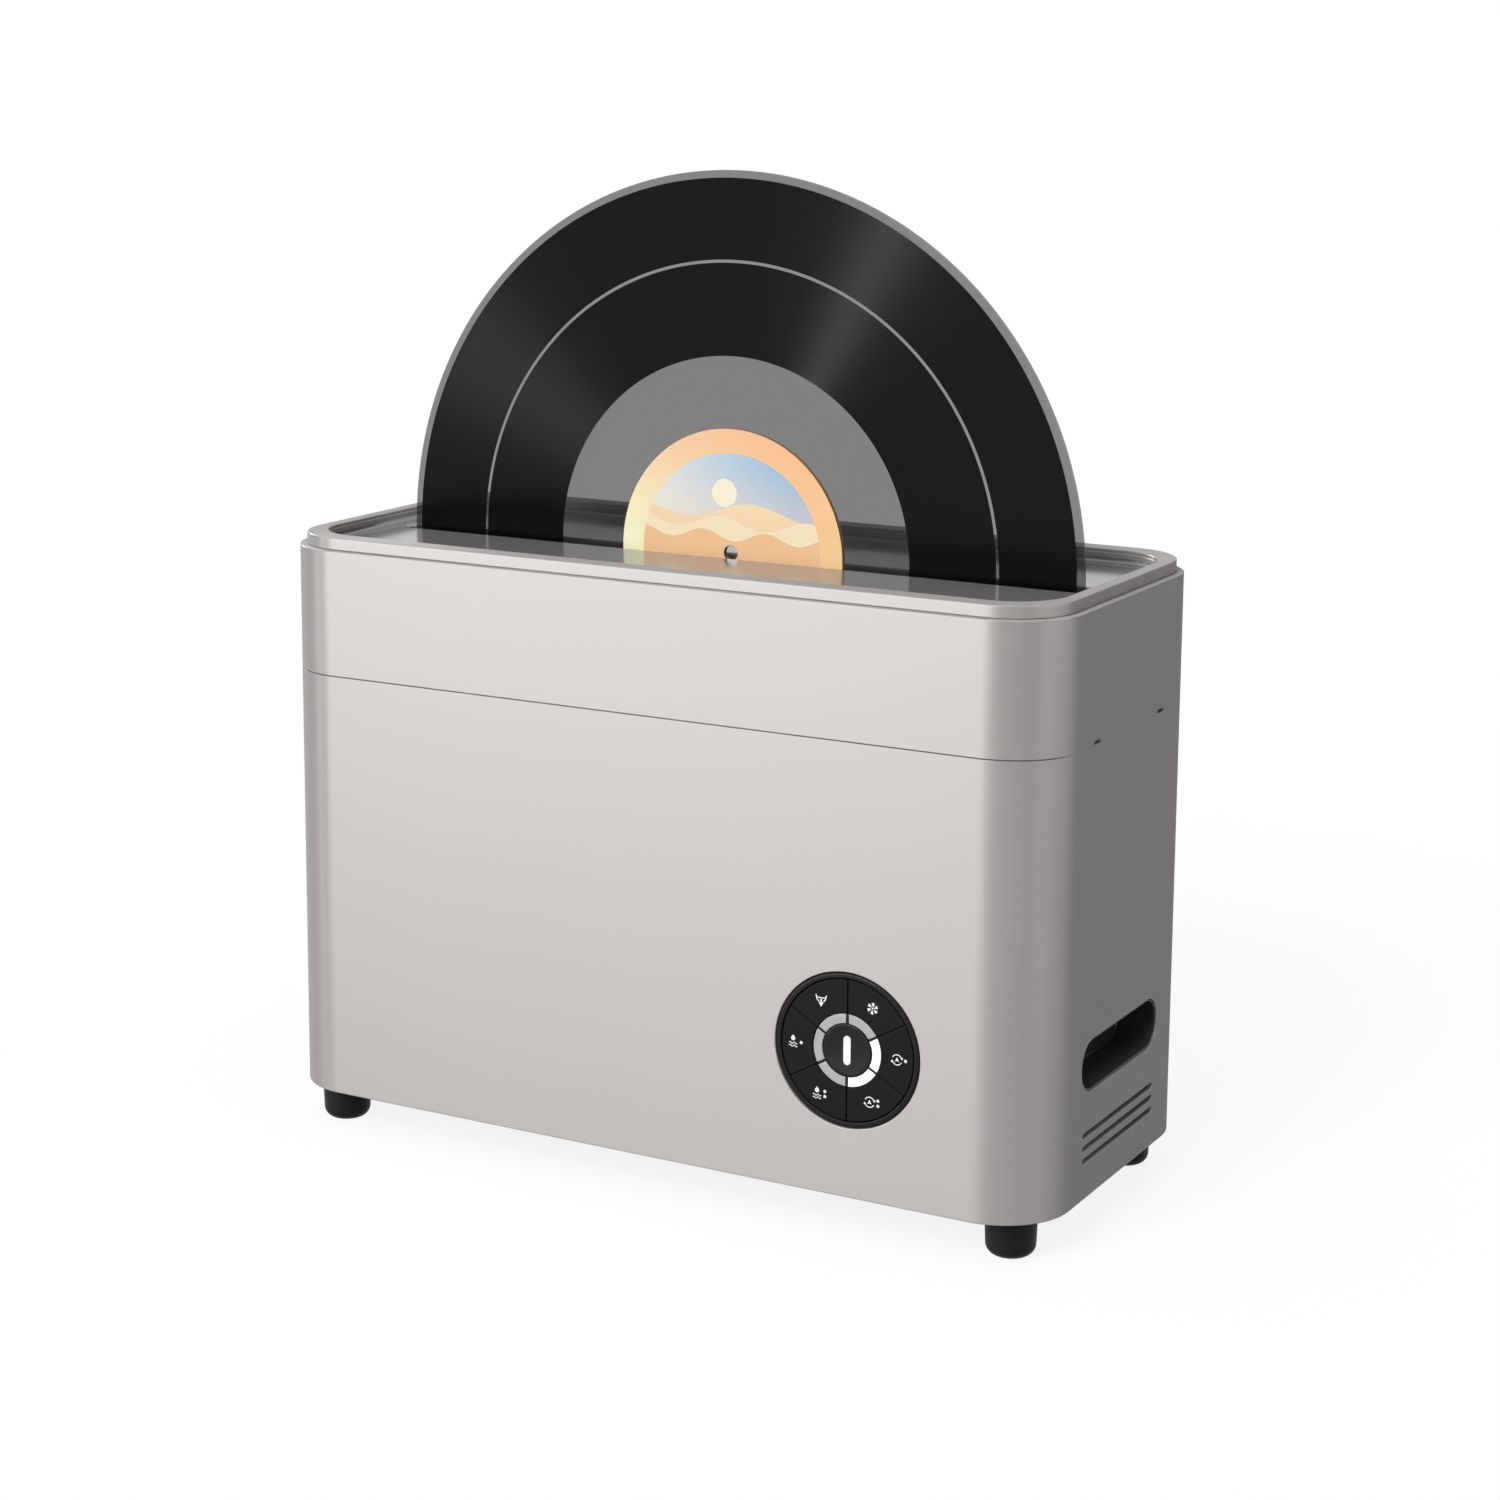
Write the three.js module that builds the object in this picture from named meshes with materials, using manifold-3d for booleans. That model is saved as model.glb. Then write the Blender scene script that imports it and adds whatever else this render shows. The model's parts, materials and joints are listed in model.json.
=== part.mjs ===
// Record cleaning machine: an upright box with a slot in its top, where a 12-inch record stands
// on edge in a narrow basin, is turned by a rubber roller, washed by ultrasound and blown dry.
// Millimetres, +Z up, front towards -Y. The origin is on the ground under the middle of the box.
import * as THREE from "three";
import { mergeVertices } from "three/addons/utils/BufferGeometryUtils.js";
import Module from "manifold-3d";

const wasm = await Module();
wasm.setup();

// Driving dimensions: record, which gives the body its width and its height
const RECORD_RADIUS = 150.8;
const RECORD_THICKNESS = 2.2;
const RECORD_EDGE = 1.2;
const RECORD_EDGE_RUN = 2;
const RECORD_HOLE = 3.63;
const RECORD_TO_BODY_END = 19.2;
const RECORD_AXIS_TO_TOP = 4.1;
const LABEL_RADIUS = 49.6;
const LABEL_THICKNESS = 0.15;

// Driving dimensions: body
const BODY_DEPTH = 150;
const CORNER_RADIUS = 28;
const WALL = 2.5;
const FLOOR = 3;
const EDGE_ROUND = 0.5;
const CLEARANCE = 0.3;
const OVERRUN = 1;

// Driving dimensions: feet
const FOOT_HEIGHT = 16.5;
const FOOT_RADIUS = 10;
const FOOT_TAPER = 0.6;
const FOOT_ROUND = 4.5;
const FOOT_MARGIN = 19;

// Driving dimensions: seam, ledge and tongue between the lower casing and the lift-off cover
const SEAM_TO_TOP = 55.7;
const SEAM_GAP = 0.4;
const TONGUE_HEIGHT = 3;
const TONGUE_WALL = 1.1;
const LEDGE_WIDTH = 4;
const LEDGE_DEPTH = 6;
const NOTCH_Y = 31;
const NOTCH_WIDTH = 6;
const NOTCH_HEIGHT = 1.2;

// Driving dimensions: rim and sunk tray of the cover
const RIM_HEIGHT = 4.9;
const RIM_INSET = 2.9;
const RIM_SIDE = 5.6;
const RIM_FRONT = 9.1;
const RIM_ROUND = 1;
const TRAY_DEPTH = 5.2;
const TRAY_FLOOR = 2;
const TRAY_CORNER = 22;
const TRAY_FILLET = 2;
const FLANGE_WIDTH = 6.6;
const FLANGE_THICKNESS = 2.5;
const SLOT_WIDTH = 12;
const SLOT_END_CLEARANCE = 3.4;
const SLOT_ROUND = 1.4;
const SKIRT_DEPTH = 8;
const SKIRT_WALL = 1.5;

// Driving dimensions: side vents and rear grille
const VENT_LENGTH = 69.5;
const VENT_HEIGHT = 2.2;
const VENT_PITCH = 5;
const VENT_COUNT = 3;
const VENT_MIDDLE = 20.2;
const GRILLE_SHIFT = 10;
const GRILLE_WIDTH = 56;
const GRILLE_COUNT = 7;

// Driving dimensions: service hatch in the floor, and the board that stands on it
const HATCH_WIDTH = 176;
const HATCH_DEPTH = 100;
const HATCH_CORNER = 8;
const HATCH_REBATE = 4;
const HATCH_THICKNESS = 1.3;
const STANDOFF_RADIUS = 3;
const STANDOFF_HEIGHT = 6;
const BOARD_THICKNESS = 1.6;
const BOARD_MARGIN = 8;

// Driving dimensions: basin
const BASIN_WALL = 1.2;
const BASIN_HALF_DEPTH = 10;
const BASIN_TO_RECORD_EDGE = 4.8;
const BASIN_GAP_UNDER_RECORD = 3.4;
const BASIN_FLAT_SHARE = 0.663;
const BASIN_SLOPE_SHARE = 0.4045;
const BASIN_TO_TANK = 10.8;
const BASIN_FLANGE = 6;
const BASIN_FLANGE_THICKNESS = 1.2;

// Driving dimensions: deck that carries the basin, the blowers and the drive
const DECK_THICKNESS = 3;
const DECK_DROP = 2.4;

// Driving dimensions: rollers and drive
const ROLLER_ANGLE = Math.PI / 6;
const ROLLER_GROOVE_RADIUS = 8;
const ROLLER_FLANGE_RADIUS = 11;
const ROLLER_HALF_WIDTH = 6;
const SHAFT_RADIUS = 3;
const BUSH_WALL = 2.4;
const BUSH_FLANGE = 2;
const BUSH_LENGTH = 4;
const TOOTH_SIZE = 1;
const ROOT_CLEARANCE = 0.25;
const DRIVE_TEETH = 36;
const PINION_TEETH = 12;
const GEAR_WIDTH = 6;
const GEAR_FRONT = 19;
const BRACKET_THICKNESS = 2;
const BRACKET_MARGIN = 21;
const BRACKET_FLANGE = 16;
const MOTOR_RADIUS = 12.5;
const MOTOR_TO_WALL = 9.2;
const MOTOR_GEARBOX = 14;
const PINION_SHAFT_RADIUS = 2;

// Driving dimensions: water tank and its bay
const TANK_HOLE_WIDTH = 75;
const TANK_HOLE_HEIGHT = 20.5;
const TANK_HEIGHT = 51.55;
const TANK_WALL = 1.8;
const TANK_LID_SHARE = 0.77;
const TANK_TO_BODY_END = 22;
const TANK_FRONT_LENGTH = 18;
const TANK_FRONT_LIP = 1;
const TANK_FRONT_BACK = 2;
const BAY_WALL = 1.5;
const SADDLE_TO_HATCH = 12;
const SADDLE_THICKNESS = 3;
const SADDLE_HALF_WIDTH = 26;
const INLET_RADIUS = 7;
const FILTER_SIZE = 40;
const FILTER_HEIGHT = 7;

// Driving dimensions: control dial
const DIAL_TO_BODY_END = 79.2;
const DIAL_HEIGHT = 57.35;
const DIAL_RADIUS = 29.9;
const BEZEL_WALL = 2.1;
const KEY_GAP = 0.6;
const KEY_INNER = 14.4;
const KEY_THICKNESS = 2.7;
const KEY_SINK = 0.3;
const KEY_TRAVEL = 0.8;
const KEY_STEM = 2;
const LIGHT_OUTER = 14;
const LIGHT_INNER = 10.4;
const LIGHT_SLIT = 0.9;
const LIGHT_SLIT_DEPTH = 1;
const MAT_DEPTH = 8.3;
const MAT_THICKNESS = 1.5;
const DOME_HEIGHT = 1.5;
const DOME_RADIUS = 3;
const CONTROL_CUP_WALL = 1.8;
const CONTROL_FLANGE = 5;
const CONTROL_FLOOR = 2;

// Driving dimensions: transducers
const TRANSDUCER_X = 2;
const TRANSDUCER_OVER_BASIN = 50.7;
const TRANSDUCER_FACE = 20;
const TRANSDUCER_NECK = 15;
const TRANSDUCER_HEAD = 20;
const TRANSDUCER_STACK = 8;
const TRANSDUCER_TO_WALL = 15.7;

// Driving dimensions: blowers and air nozzles
const BLOWER_TO_BODY_END = 76;
const BLOWER_LEVEL_SHARE = 0.5904;
const BLOWER_NEAR = 18;
const BLOWER_WIDTH = 26;
const BLOWER_WALL = 1.5;
const VOLUTE_MIN = 31;
const VOLUTE_MAX = 40;
const OUTLET_WIDTH = 20;
const INLET_HOLE = 20;
const IMPELLER_RADIUS = 26;
const IMPELLER_WIDTH = 19;
const IMPELLER_HUB = 9;
const IMPELLER_BLADES = 14;
const BLADE_LENGTH = 6.5;
const BLADE_THICKNESS = 0.9;
const BLADE_LEAN = 0.6;
const IMPELLER_PLATE = 1.2;
const HUB_SHARE = 0.6;
const PIN_RADIUS = 1.5;
const NOZZLE_TO_BASIN_END = 18;
const NOZZLE_FOOT_OUTER = 40;
const NOZZLE_FACE = 9.5;
const NOZZLE_HEIGHT = 33;
const NOZZLE_WALL = 1.5;
const NOZZLE_SLIT = 1.6;
const NOZZLE_RISE = 5.5;

// Driving dimensions: pump, hose and power inlet
const PUMP_TO_BODY_END = 45;
const PUMP_TO_BACK = 19;
const PUMP_RADIUS = 13;
const PUMP_HEIGHT = 34;
const HOSE_RADIUS = 4;
const HOSE_OVER_BASIN = 60.7;
const JACK_TO_BODY_END = 46;
const JACK_HEIGHT = 22;
const JACK_RADIUS = 5;
const JACK_BORE = 3;
const JACK_PIN = 1;
const JACK_LENGTH = 13;

// Facet counts
const CORNER_STEPS = 7;
const ARC_SEGMENTS = 5;
const CIRCLE_SEGMENTS = 8;
const TURNED_SEGMENTS = 20;
const RECORD_SEGMENTS = 72;
const ROUND_STEPS = 3;
const SLOT_STEPS = 3;
const SLIT_SEGMENTS = 1;

// Levels, from the ground up to the top of the body
const BOTTOM_Z = FOOT_HEIGHT;
const FLOOR_Z = BOTTOM_Z + FLOOR;
const TANK_Z = BOTTOM_Z + TANK_HEIGHT;
const TANK_OUTER_WIDTH = TANK_HOLE_WIDTH - 2 * CLEARANCE;
const TANK_OUTER_HEIGHT = TANK_HOLE_HEIGHT - 2 * CLEARANCE;
const TANK_TOP_Z = TANK_Z + TANK_OUTER_HEIGHT / 2;
const TANK_LID_Z = TANK_Z + (TANK_OUTER_HEIGHT / 2) * TANK_LID_SHARE;
const BASIN_FLOOR_Z = TANK_TOP_Z + BASIN_TO_TANK;
const BASIN_SLOPE_Z = BASIN_FLOOR_Z + RECORD_RADIUS * BASIN_SLOPE_SHARE;
const RECORD_Z = BASIN_FLOOR_Z + BASIN_GAP_UNDER_RECORD + RECORD_RADIUS;
const TOP_Z = RECORD_Z + RECORD_AXIS_TO_TOP;
const SEAM_Z = TOP_Z - SEAM_TO_TOP;
const LOWER_TOP_Z = SEAM_Z - SEAM_GAP / 2;
const UPPER_BOTTOM_Z = SEAM_Z + SEAM_GAP / 2;
const CASING_TOP_Z = TOP_Z - RIM_HEIGHT;
const TRAY_Z = TOP_Z - TRAY_DEPTH;
const TRAY_UNDER_Z = TRAY_Z - TRAY_FLOOR;
const DECK_Z = SEAM_Z - DECK_DROP;
const LEDGE_Z = DECK_Z - DECK_THICKNESS;
const DIAL_Z = BOTTOM_Z + DIAL_HEIGHT;

// Places along the body and across it
const HALF_DEPTH = BODY_DEPTH / 2;
const HALF_WIDTH = RECORD_RADIUS + RECORD_TO_BODY_END;
const BODY_WIDTH = 2 * HALF_WIDTH;
const FOOT_X = HALF_WIDTH - FOOT_MARGIN;
const FOOT_Y = HALF_DEPTH - FOOT_MARGIN;
const BASIN_HALF_LENGTH = RECORD_RADIUS - BASIN_TO_RECORD_EDGE;
const BASIN_FLAT_HALF = RECORD_RADIUS * BASIN_FLAT_SHARE;
const BASIN_OUTER_Y = BASIN_HALF_DEPTH + BASIN_WALL;
const NOZZLE_HALF_LENGTH = BASIN_HALF_LENGTH - NOZZLE_TO_BASIN_END;
const SLOT_HALF_LENGTH = RECORD_RADIUS + SLOT_END_CLEARANCE;
const ROLLER_CENTRE_DISTANCE = RECORD_RADIUS + CLEARANCE + ROLLER_GROOVE_RADIUS;
const ROLLER_X = ROLLER_CENTRE_DISTANCE * Math.sin(ROLLER_ANGLE);
const ROLLER_Z = RECORD_Z - ROLLER_CENTRE_DISTANCE * Math.cos(ROLLER_ANGLE);
const GEAR_CENTRES = (TOOTH_SIZE * (DRIVE_TEETH + PINION_TEETH)) / 2 + CLEARANCE;
const MOTOR_Z = ROLLER_Z + GEAR_CENTRES;
const BRACKET_Y = GEAR_FRONT + GEAR_WIDTH + BRACKET_THICKNESS;
const TANK_LEFT = HALF_WIDTH - TANK_TO_BODY_END;
const TANK_FRONT_X = HALF_WIDTH - TANK_FRONT_LENGTH;
const BAY_OUTER_WIDTH = TANK_HOLE_WIDTH + 2 * BAY_WALL;
const BAY_OUTER_HEIGHT = TANK_HOLE_HEIGHT + 2 * BAY_WALL;
const BAY_TOP_Z = TANK_Z + BAY_OUTER_HEIGHT / 2;
const SADDLE_X = HATCH_WIDTH / 2 + SADDLE_TO_HATCH;
const BLOWER_X = BLOWER_TO_BODY_END - HALF_WIDTH;
const BLOWER_Z = BAY_TOP_Z + (LEDGE_Z - BAY_TOP_Z) * BLOWER_LEVEL_SHARE;
const GRILLE_X = BLOWER_X + GRILLE_SHIFT;
const DIAL_X = HALF_WIDTH - DIAL_TO_BODY_END;
const PUMP_X = HALF_WIDTH - PUMP_TO_BODY_END;
const PUMP_Y = HALF_DEPTH - PUMP_TO_BACK;
const JACK_X = JACK_TO_BODY_END - HALF_WIDTH;

// Materials
function material(color, roughness, metalness) {
  return new THREE.MeshStandardMaterial({ color, roughness, metalness, flatShading: true });
}
const silverPaint = material(0xc9c5c2, 0.45, 0.3);
const darkGloss = material(0x6b6968, 0.2, 0.1);
const blackGloss = material(0x121212, 0.1, 0);
const blackPlastic = material(0x35332f, 0.5, 0);
const greyPlastic = material(0x8b8d90, 0.6, 0);
const clearPlastic = material(0xb9c6cc, 0.1, 0);
const lightPlastic = material(0xd9d9d9, 0.4, 0);
const rubber = material(0x1b1b1b, 0.9, 0);
const steel = material(0xb8bcc0, 0.25, 1);
const aluminium = material(0xc8cacc, 0.35, 1);
const brass = material(0xc9a44e, 0.35, 1);
const greenBoard = material(0x1f5d3a, 0.6, 0);
const foam = material(0x4b4f55, 0.95, 0);
const vinyl = material(0x111111, 0.25, 0);
const paper = material(0xf3c79a, 0.8, 0);

// Solids: every piece is a closed body of merged vertices
const MERGE_DISTANCE = 1e-4;

function toSolid(geometry) {
  const bare = new THREE.BufferGeometry();
  bare.setAttribute("position", geometry.getAttribute("position"));
  if (geometry.index) {
    bare.setIndex(geometry.index);
  }
  const merged = mergeVertices(bare, MERGE_DISTANCE);
  const corners = merged.index.array;
  const triangles = [];
  for (let i = 0; i < corners.length; i += 3) {
    const [a, b, c] = [corners[i], corners[i + 1], corners[i + 2]];
    if (a !== b && b !== c && c !== a) {
      triangles.push(a, b, c);
    }
  }
  const vertProperties = Float32Array.from(merged.getAttribute("position").array);
  const triVerts = Uint32Array.from(triangles);
  return new wasm.Manifold(new wasm.Mesh({ numProp: 3, vertProperties, triVerts }));
}

function toGeometry(solid) {
  const mesh = solid.getMesh();
  const geometry = new THREE.BufferGeometry();
  geometry.setAttribute("position", new THREE.BufferAttribute(mesh.vertProperties, 3));
  geometry.setIndex(new THREE.BufferAttribute(mesh.triVerts, 1));
  geometry.computeVertexNormals();
  return geometry;
}

function join(...geometries) {
  return toGeometry(geometries.map(toSolid).reduce((sum, next) => sum.add(next)));
}

function cut(body, ...tools) {
  return toGeometry(tools.map(toSolid).reduce((rest, tool) => rest.subtract(tool), toSolid(body)));
}

// Outlines, drawn in x and y
function roundedRectangle(width, depth, radius) {
  const x = width / 2 - radius;
  const y = depth / 2 - radius;
  const shape = new THREE.Shape();
  shape.absarc(x, y, radius, 0, Math.PI / 2);
  shape.absarc(-x, y, radius, Math.PI / 2, Math.PI);
  shape.absarc(-x, -y, radius, Math.PI, (3 * Math.PI) / 2);
  shape.absarc(x, -y, radius, (3 * Math.PI) / 2, 2 * Math.PI);
  return shape;
}

function stadium(width, height) {
  const x = (width - height) / 2;
  const shape = new THREE.Shape();
  shape.absarc(x, 0, height / 2, -Math.PI / 2, Math.PI / 2);
  shape.absarc(-x, 0, height / 2, Math.PI / 2, (3 * Math.PI) / 2);
  return shape;
}

function circle(radius) {
  const shape = new THREE.Shape();
  shape.absarc(0, 0, radius, 0, 2 * Math.PI);
  return shape;
}

function polygon(points) {
  return new THREE.Shape(points.map(([x, y]) => new THREE.Vector2(x, y)));
}

// Prisms: an outline in the plan (Z), seen from the front (Y) or seen from the side (X)
function prismZ(shape, from, to, curveSegments = ARC_SEGMENTS) {
  const depth = to - from;
  const geometry = new THREE.ExtrudeGeometry(shape, { depth, bevelEnabled: false, curveSegments });
  return geometry.translate(0, 0, from);
}

function prismY(shape, from, to, curveSegments = ARC_SEGMENTS) {
  const turn = new THREE.Matrix4().makeBasis(
    new THREE.Vector3(1, 0, 0),
    new THREE.Vector3(0, 0, 1),
    new THREE.Vector3(0, -1, 0),
  );
  return prismZ(shape, 0, to - from, curveSegments).applyMatrix4(turn).translate(0, to, 0);
}

function prismX(shape, from, to, curveSegments = ARC_SEGMENTS) {
  const turn = new THREE.Matrix4().makeBasis(
    new THREE.Vector3(0, 1, 0),
    new THREE.Vector3(0, 0, 1),
    new THREE.Vector3(1, 0, 0),
  );
  return prismZ(shape, 0, to - from, curveSegments).applyMatrix4(turn).translate(from, 0, 0);
}

function block(xFrom, xTo, yFrom, yTo, zFrom, zTo) {
  const geometry = new THREE.BoxGeometry(xTo - xFrom, yTo - yFrom, zTo - zFrom);
  return geometry.translate((xFrom + xTo) / 2, (yFrom + yTo) / 2, (zFrom + zTo) / 2);
}

// Turned pieces: a profile of [radius, place along the axis]
function turnedY(profile, segments = TURNED_SEGMENTS) {
  return new THREE.LatheGeometry(profile.map(([r, y]) => new THREE.Vector2(r, y)), segments);
}

function turnedZ(profile, segments = TURNED_SEGMENTS) {
  return turnedY(profile, segments).rotateX(Math.PI / 2);
}

function rodY(radius, from, to, segments = TURNED_SEGMENTS) {
  return turnedY([[0, from], [radius, from], [radius, to], [0, to]], segments);
}

function rodZ(radius, from, to, segments = TURNED_SEGMENTS) {
  return turnedZ([[0, from], [radius, from], [radius, to], [0, to]], segments);
}

function tubeY(inner, outer, from, to, segments = TURNED_SEGMENTS) {
  return turnedY([[inner, from], [outer, from], [outer, to], [inner, to], [inner, from]], segments);
}

function tubeZ(inner, outer, from, to, segments = TURNED_SEGMENTS) {
  return turnedZ([[inner, from], [outer, from], [outer, to], [inner, to], [inner, from]], segments);
}

// Stacked rounded rectangles: each level is [height, inset from the outline]
function planRing(width, depth, radius, inset, z, steps) {
  const corner = Math.max(radius - inset, CLEARANCE);
  const x = width / 2 - inset - corner;
  const y = depth / 2 - inset - corner;
  const centres = [[x, y], [-x, y], [-x, -y], [x, -y]];
  const ring = [];
  centres.forEach(([cx, cy], quarter) => {
    for (let step = 0; step <= steps; step += 1) {
      const angle = (quarter + step / steps) * (Math.PI / 2);
      ring.push([cx + corner * Math.cos(angle), cy + corner * Math.sin(angle), z]);
    }
  });
  return ring;
}

function stack(
  levels,
  width = BODY_WIDTH,
  depth = BODY_DEPTH,
  radius = CORNER_RADIUS,
  steps = CORNER_STEPS,
) {
  const rings = levels.map(([z, inset]) => planRing(width, depth, radius, inset, z, steps));
  const count = rings[0].length;
  const index = [];
  for (let level = 0; level + 1 < rings.length; level += 1) {
    for (let i = 0; i < count; i += 1) {
      const a = level * count + i;
      const b = level * count + ((i + 1) % count);
      index.push(a, b, b + count, a, b + count, a + count);
    }
  }
  const last = (rings.length - 1) * count;
  for (let i = 1; i + 1 < count; i += 1) {
    index.push(0, i + 1, i, last, last + i, last + i + 1);
  }
  const geometry = new THREE.BufferGeometry();
  geometry.setAttribute("position", new THREE.Float32BufferAttribute(rings.flat(2), 3));
  geometry.setIndex(index);
  return geometry;
}

// Levels of a quarter round that leads from a flat face to the side, listed from the face
function edgeRound(faceZ, direction, radius, inset) {
  const levels = [];
  for (let step = 0; step <= ROUND_STEPS; step += 1) {
    const angle = (step / ROUND_STEPS) * (Math.PI / 2);
    const z = faceZ + direction * radius * (1 - Math.cos(angle));
    levels.push([z, inset + radius * (1 - Math.sin(angle))]);
  }
  return levels;
}

// Two ends of a span on the front side (-1) or the rear side (1), in rising order
function span(side, near, far) {
  return side > 0 ? [near, far] : [-far, -near];
}

const machine = new THREE.Group();

function piece(name, geometry, look, parent = machine) {
  const mesh = new THREE.Mesh(toGeometry(toSolid(geometry)), look);
  mesh.name = name;
  parent.add(mesh);
  return mesh;
}

// Lower casing: one shell with floor, ledge, seam tongue, saddles and all its openings
function sideVents() {
  const vents = [];
  for (let i = 0; i < VENT_COUNT; i += 1) {
    const z = BOTTOM_Z + VENT_MIDDLE + (i - (VENT_COUNT - 1) / 2) * VENT_PITCH;
    const slit = stadium(VENT_LENGTH, VENT_HEIGHT);
    const through = prismX(slit, HALF_WIDTH - WALL - OVERRUN, HALF_WIDTH + OVERRUN, SLIT_SEGMENTS);
    vents.push(through.translate(0, 0, z));
  }
  return vents;
}

function rearGrille() {
  const slits = [];
  for (let i = 0; i < GRILLE_COUNT; i += 1) {
    const z = BLOWER_Z + (i - (GRILLE_COUNT - 1) / 2) * VENT_PITCH;
    const slit = stadium(GRILLE_WIDTH, VENT_HEIGHT);
    const through = prismY(slit, HALF_DEPTH - WALL - OVERRUN, HALF_DEPTH + OVERRUN, SLIT_SEGMENTS);
    slits.push(through.translate(GRILLE_X, 0, z));
  }
  return slits;
}

function lowerCasing() {
  const outside = stack([...edgeRound(BOTTOM_Z, 1, EDGE_ROUND, 0), [LOWER_TOP_Z, 0]]);
  const inside = stack([
    [FLOOR_Z, WALL],
    [LEDGE_Z - LEDGE_DEPTH, WALL],
    [LEDGE_Z, WALL + LEDGE_WIDTH],
    [LEDGE_Z, WALL],
    [LOWER_TOP_Z + OVERRUN, WALL],
  ]);
  const tongue = cut(
    stack([[LEDGE_Z, WALL - TONGUE_WALL], [SEAM_Z + TONGUE_HEIGHT, WALL - TONGUE_WALL]]),
    stack([[LEDGE_Z - OVERRUN, WALL], [SEAM_Z + TONGUE_HEIGHT + OVERRUN, WALL]]),
  );
  const saddleTop = TANK_Z - BAY_OUTER_HEIGHT / 2 - CLEARANCE;
  const saddles = [-1, 1].map((side) =>
    block(
      side * SADDLE_X - SADDLE_THICKNESS / 2,
      side * SADDLE_X + SADDLE_THICKNESS / 2,
      -SADDLE_HALF_WIDTH,
      SADDLE_HALF_WIDTH,
      FLOOR_Z - OVERRUN,
      saddleTop,
    ),
  );
  const hatch = roundedRectangle(HATCH_WIDTH, HATCH_DEPTH, HATCH_CORNER);
  const rebate = roundedRectangle(
    HATCH_WIDTH + 2 * HATCH_REBATE,
    HATCH_DEPTH + 2 * HATCH_REBATE,
    HATCH_CORNER + HATCH_REBATE,
  );
  const wallBack = HALF_DEPTH - WALL - OVERRUN;
  const wallFront = HALF_DEPTH + OVERRUN;
  const dialHole = rodY(DIAL_RADIUS + CLEARANCE, -wallFront, -wallBack, 4 * CIRCLE_SEGMENTS);
  const jackHole = rodY(JACK_RADIUS + CLEARANCE, wallBack, wallFront, 2 * CIRCLE_SEGMENTS);
  const tankHole = prismX(
    stadium(TANK_HOLE_WIDTH, TANK_HOLE_HEIGHT),
    HALF_WIDTH - WALL - OVERRUN,
    HALF_WIDTH + OVERRUN,
  );
  return cut(
    join(cut(outside, inside), tongue, ...saddles),
    prismZ(hatch, BOTTOM_Z - OVERRUN, FLOOR_Z + OVERRUN),
    prismZ(rebate, BOTTOM_Z - OVERRUN, BOTTOM_Z + HATCH_THICKNESS + CLEARANCE),
    dialHole.translate(DIAL_X, 0, DIAL_Z),
    jackHole.translate(JACK_X, 0, BOTTOM_Z + JACK_HEIGHT),
    tankHole.translate(0, 0, TANK_Z),
    ...sideVents(),
    ...rearGrille(),
  );
}
piece("lower_casing", lowerCasing(), silverPaint);

// Service hatch with the four posts of the main board
const BOARD_HALF_X = HATCH_WIDTH / 2 - BOARD_MARGIN;
const BOARD_HALF_Y = HATCH_DEPTH / 2 - BOARD_MARGIN;
const BOARD_Z = BOTTOM_Z + HATCH_THICKNESS + STANDOFF_HEIGHT + CLEARANCE;

function bottomCover() {
  const grow = 2 * (HATCH_REBATE - CLEARANCE);
  const plate = roundedRectangle(HATCH_WIDTH + grow, HATCH_DEPTH + grow, HATCH_CORNER + grow / 2);
  const posts = [[-1, -1], [1, -1], [1, 1], [-1, 1]].map(([sx, sy]) =>
    rodZ(STANDOFF_RADIUS, BOTTOM_Z, BOARD_Z - CLEARANCE, CIRCLE_SEGMENTS).translate(
      sx * (BOARD_HALF_X - BOARD_MARGIN),
      sy * (BOARD_HALF_Y - BOARD_MARGIN),
      0,
    ),
  );
  return join(prismZ(plate, BOTTOM_Z, BOTTOM_Z + HATCH_THICKNESS), ...posts);
}
piece("bottom_cover", bottomCover(), blackPlastic);

// Main board with its transformer, its two capacitors and its cooling fins
const CAPACITOR_RADIUS = 5;
const CAPACITOR_HEIGHT = 14;
const CAPACITOR_PITCH = 15;
const TRANSFORMER_SIZE = 26;
const TRANSFORMER_HEIGHT = 18;
const FIN_HEIGHT = 16;
const FIN_THICKNESS = 1.5;
const FIN_PITCH = 5;
const FIN_COUNT = 4;

function mainBoard() {
  const top = BOARD_Z + BOARD_THICKNESS;
  const seat = top - BOARD_THICKNESS / 2;
  const board = block(-BOARD_HALF_X, BOARD_HALF_X, -BOARD_HALF_Y, BOARD_HALF_Y, BOARD_Z, top);
  const half = TRANSFORMER_SIZE / 2;
  const transformer = block(-half, half, -half, half, seat, top + TRANSFORMER_HEIGHT);
  const capacitors = [1, 2].map((place) =>
    rodZ(CAPACITOR_RADIUS, seat, top + CAPACITOR_HEIGHT, CIRCLE_SEGMENTS).translate(
      -TRANSFORMER_SIZE,
      place * CAPACITOR_PITCH - TRANSFORMER_SIZE,
      0,
    ),
  );
  const fins = [];
  for (let i = 0; i < FIN_COUNT; i += 1) {
    const x = TRANSFORMER_SIZE + i * FIN_PITCH;
    fins.push(block(x, x + FIN_THICKNESS, -half, half, seat, top + FIN_HEIGHT));
  }
  return join(board, transformer, ...capacitors, ...fins);
}
piece("main_board", mainBoard(), greenBoard);

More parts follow.
